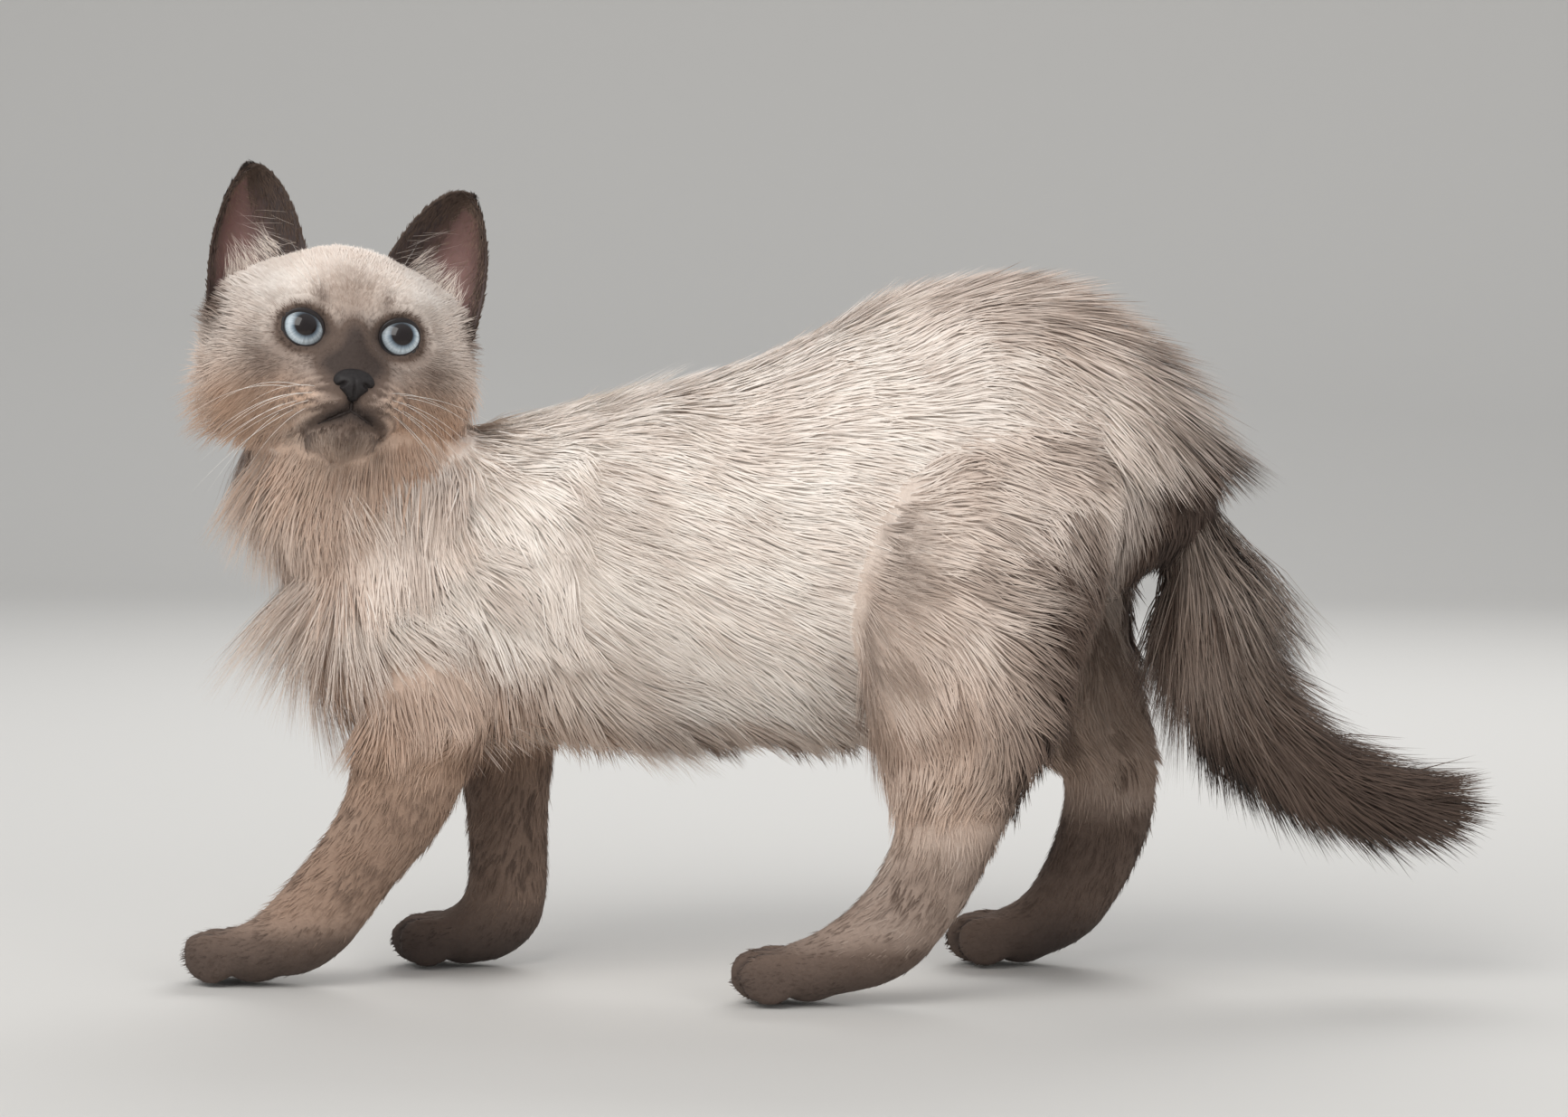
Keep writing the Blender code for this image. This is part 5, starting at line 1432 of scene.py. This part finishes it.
def eyeMaterial():
    made, tree, surface = newMaterial("blueEye")
    away = readValue(tree, "fromPupil", -1000, 200)
    turn = readValue(tree, "irisTurn", -1000, -100)
    # the iris's fibres: noise over place round the pupil and away from it
    fibres = put(tree, "ShaderNodeTexNoise", -600, -100, noise_dimensions="2D", in_2=1.0, in_3=3.0)
    where = put(tree, "ShaderNodeCombineXYZ", -750, -100)
    circle = mathNode(tree, "MULTIPLY", mathNode(tree, "PINGPONG", turn, 0.5, -900, -250), 90.0, -850, -100)
    tree.links.new(circle, where.inputs[0])
    tree.links.new(mathNode(tree, "MULTIPLY", away, 0.35, -900, -350), where.inputs[1])
    tree.links.new(where.outputs[0], fibres.inputs["Vector"])
    rings = put(tree, "ShaderNodeValToRGB", -500, 200)
    ramp = rings.color_ramp
    while len(ramp.elements) < len(eyeRings):
        ramp.elements.new(0.5)
    for element, (position, colour) in zip(ramp.elements, eyeRings):
        element.position = position
        element.color = (*colour, 1)
    tree.links.new(mathNode(tree, "MULTIPLY", away, 0.1, -700, 200), rings.inputs["Fac"])
    fibreLight = mapped(tree, fibres.outputs["Fac"], -400, -100, 0.3, 0.7, 0.80, 1.16)
    colour = timesValue(tree, rings.outputs["Color"], fibreLight, -250, 100)
    shade = mathNode(tree, "MULTIPLY", readValue(tree, "lidShade", -300, -400), 0.72, -150, -300)
    colour = mixColour(tree, shade, colour, (0.03, 0.028, 0.03), 50, 100)
    tree.links.new(colour, surface.inputs["Base Color"])
    setSurface(surface, Roughness=0.3, SpecularIORLevel=0.1, CoatIOR=1.38, CoatWeight=1.0, CoatRoughness=0.02)
    return made


def wetMaterial(name, colour, roughness, scale, bumpDepth):
    # nearly black leather with small raised cells and paler blotches
    made, tree, surface = newMaterial(name)
    cells = onObject(tree, "ShaderNodeTexVoronoi", -600, -200, in_2=scale)
    blotch = onObject(tree, "ShaderNodeTexNoise", -600, 200, in_2=scale * 0.3, in_3=3.0)
    pale = tuple(c * 1.9 + 0.01 for c in colour)
    tree.links.new(mixColour(tree, blotch.outputs["Fac"], colour, pale, -300, 200), surface.inputs["Base Color"])
    addBump(tree, surface, cells.outputs["Distance"], bumpDepth, 0.5)
    setSurface(surface, Roughness=roughness, SpecularIORLevel=0.3)
    return made


def earMaterial():
    # dark behind; inside, pink that darkens towards the tip and both edges
    made, tree, surface = newMaterial("earSkin")
    veins = onObject(tree, "ShaderNodeTexNoise", -700, -300, in_2=160.0, in_3=4.0)
    pink = mixColour(tree, readValue(tree, "earUp", -900, -100), (0.30, 0.165, 0.15), (0.13, 0.070, 0.058), -500, 100)
    pink = mixColour(tree, veins.outputs["Fac"], pink, (0.20, 0.11, 0.10), -300, 100)
    over = readValue(tree, "earOver", -900, 400)
    fromMiddle = mathNode(tree, "ABSOLUTE", mathNode(tree, "SUBTRACT", over, 0.60, -700, 400), 0.0, -600, 400)
    edge = mapped(tree, fromMiddle, -450, 400, 0.12, 0.42)
    pink = mixColour(tree, edge, pink, (0.055, 0.038, 0.034), -200, 250)
    inside = readValue(tree, "inside", -900, 200)
    tree.links.new(mixColour(tree, inside, (0.05, 0.038, 0.034), pink, -100, 100), surface.inputs["Base Color"])
    addBump(tree, surface, veins.outputs["Fac"], 0.0003)
    setSurface(surface, Roughness=0.7, SubsurfaceWeight=0.15, SubsurfaceRadius=(0.004, 0.0015, 0.001))
    return made


def whiskerMaterial():
    made, tree, surface = newMaterial("whiskerHair")
    vary = onObject(tree, "ShaderNodeTexNoise", -500, 0, in_2=60.0, in_3=2.0)
    colour = mixColour(tree, vary.outputs["Fac"], (0.92, 0.89, 0.84), (0.78, 0.73, 0.68), -200, 0)
    tree.links.new(colour, surface.inputs["Base Color"])
    setSurface(surface, Roughness=0.35)
    return made


finishes = {
    "long": coatMaterial("longCoat", 0.72, 1.02, 0.91),
    "short": coatMaterial("shortCoat", 0.72, 1.02, 0.92),
    "skin": skinMaterial(),
    "eye": eyeMaterial(),
    "rim": wetMaterial("lidRim", (0.012, 0.009, 0.009), 0.38, 900.0, 0.0001),
    "nose": wetMaterial("noseLeather", (0.010, 0.008, 0.008), 0.55, 3200.0, 0.00010),
    "mouth": wetMaterial("lipLine", (0.018, 0.012, 0.010), 0.6, 900.0, 0.0001),
    "ear": earMaterial(),
    "whisker": whiskerMaterial(),
}


def dress(piece, finish, slot, *nodes):
    piece.data.materials.clear()
    piece.data.materials.append(finishes[finish])
    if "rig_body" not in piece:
        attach(piece, "root")
    if nodes:
        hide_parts(*nodes)


dress(skin, "skin", "cream_coat", "head", "neck", "torso", "tail_root", "tail_middle", "tail_tip",
      "foreleg_left", "foreleg_right", "hindleg_left", "hindleg_right")
for piece in coat:
    short = (piece.name.startswith(("coatFace", "coatLegs"))
             or piece.name.endswith(("Back", "Edge", "Band", "Outer", "Crown", "Fuzz")))
    slot = "leg_coat" if "Leg" in piece.name else "cream_coat"
    slot = "point_coat" if piece.name.startswith(("ear", "coatTail")) else slot
    dress(piece, "short" if short else "long", slot)
dress(eyes[0], "eye", "eye", "eye_left")
dress(eyes[1], "eye", "eye", "eye_right")
for piece in rims:
    dress(piece, "rim", "nose_leather")
for piece in mouth:
    dress(piece, "mouth", "nose_leather")
dress(nose, "nose", "nose_leather", "nose")
dress(earLeft, "ear", "point_coat", "ear_left")
dress(earRight, "ear", "point_coat", "ear_right")
dress(whiskers, "whisker", "cream_coat")
print("kitten: materials")

# floor, light and camera
stageSettings = {"floorColour": (0.60, 0.59, 0.57), "wall": 1.6, "bend": 0.5}


def makeFloor():
    # a sheet that runs level, turns up on a quarter circle behind and goes on straight up
    def sweep(u, v):
        level, bend = stageSettings["wall"] + 2.4, stageSettings["bend"]
        run = u * (level + bend * np.pi / 2 + 2.2)
        angle = np.clip((run - level) / bend, 0, np.pi / 2)
        y = -2.4 + np.minimum(run, level) + bend * np.sin(angle)
        z = bend * (1 - np.cos(angle)) + np.maximum(run - level - bend * np.pi / 2, 0)
        return np.stack([(v - 0.5) * 9.0, y, z], -1)

    piece, _, _ = surfaceOf("floor", sweep, 120, 8, wrap=False)
    made, tree, surface = newMaterial("paleFloor")
    setSurface(surface, BaseColor=(*stageSettings["floorColour"], 1), Roughness=0.85)
    piece.data.materials.append(made)


def makeLight(name, light):
    lamp = bpy.data.lights.new(name, "AREA")
    lamp.shape = "RECTANGLE"
    lamp.size, lamp.size_y = light["size"]
    lamp.energy = light["power"]
    lamp.color = light["colour"]
    holder = bpy.data.objects.new(name, lamp)
    bpy.context.scene.collection.objects.link(holder)
    holder.location = light["place"]
    holder.visible_glossy = name == "key"    # only the key light shows in the eyes
    way = np.array(light["aim"], float) - np.array(light["place"], float)
    holder.rotation_mode = "XYZ"
    flat = math.hypot(way[0], way[1])
    holder.rotation_euler = (math.atan2(flat, -way[2]), 0, math.atan2(way[1], way[0]) - math.pi / 2)


lightSettings = {
    "key": {"place": (-0.6, -1.3, 1.4), "aim": (-0.03, 0, 0.12), "size": (1.3, 1.3), "power": 24,
            "colour": (1.0, 0.98, 0.95)},
    "fill": {"place": (1.3, -1.2, 0.7), "aim": (0, 0, 0.1), "size": (1.0, 1.0), "power": 7,
             "colour": (1.0, 0.97, 0.94)},
    "rim": {"place": (0.15, 1.1, 1.1), "aim": (0, 0, 0.14), "size": (1.2, 0.6), "power": 11,
            "colour": (1.0, 1.0, 1.0)},
}
makeFloor()
for name, light in lightSettings.items():
    makeLight(name, light)

world = bpy.data.worlds.new("studio")
bpy.context.scene.world = world
world.use_nodes = True
world.node_tree.nodes["Background"].inputs["Color"].default_value = (0.95, 0.97, 1.0, 1)
world.node_tree.nodes["Background"].inputs["Strength"].default_value = 0.56

cameraSettings = {"azimuth": 5.0, "pitch": 3.6, "distance": 1150.0, "height": 200.8, "lens": 88.43}
lens = bpy.data.cameras.new("camera")
lens.sensor_width = 36.0
lens.lens = cameraSettings["lens"]
lens.clip_end = 20
camera = bpy.data.objects.new("camera", lens)
bpy.context.scene.collection.objects.link(camera)
azimuth = math.radians(cameraSettings["azimuth"])
camera.location = toModel((math.sin(azimuth) * cameraSettings["distance"],
                           -math.cos(azimuth) * cameraSettings["distance"], cameraSettings["height"]))
camera.rotation_euler = (math.radians(90 - cameraSettings["pitch"]), 0, azimuth)
bpy.context.scene.camera = camera
bpy.context.scene.view_settings.view_transform = "Standard"
print("kitten: stage")
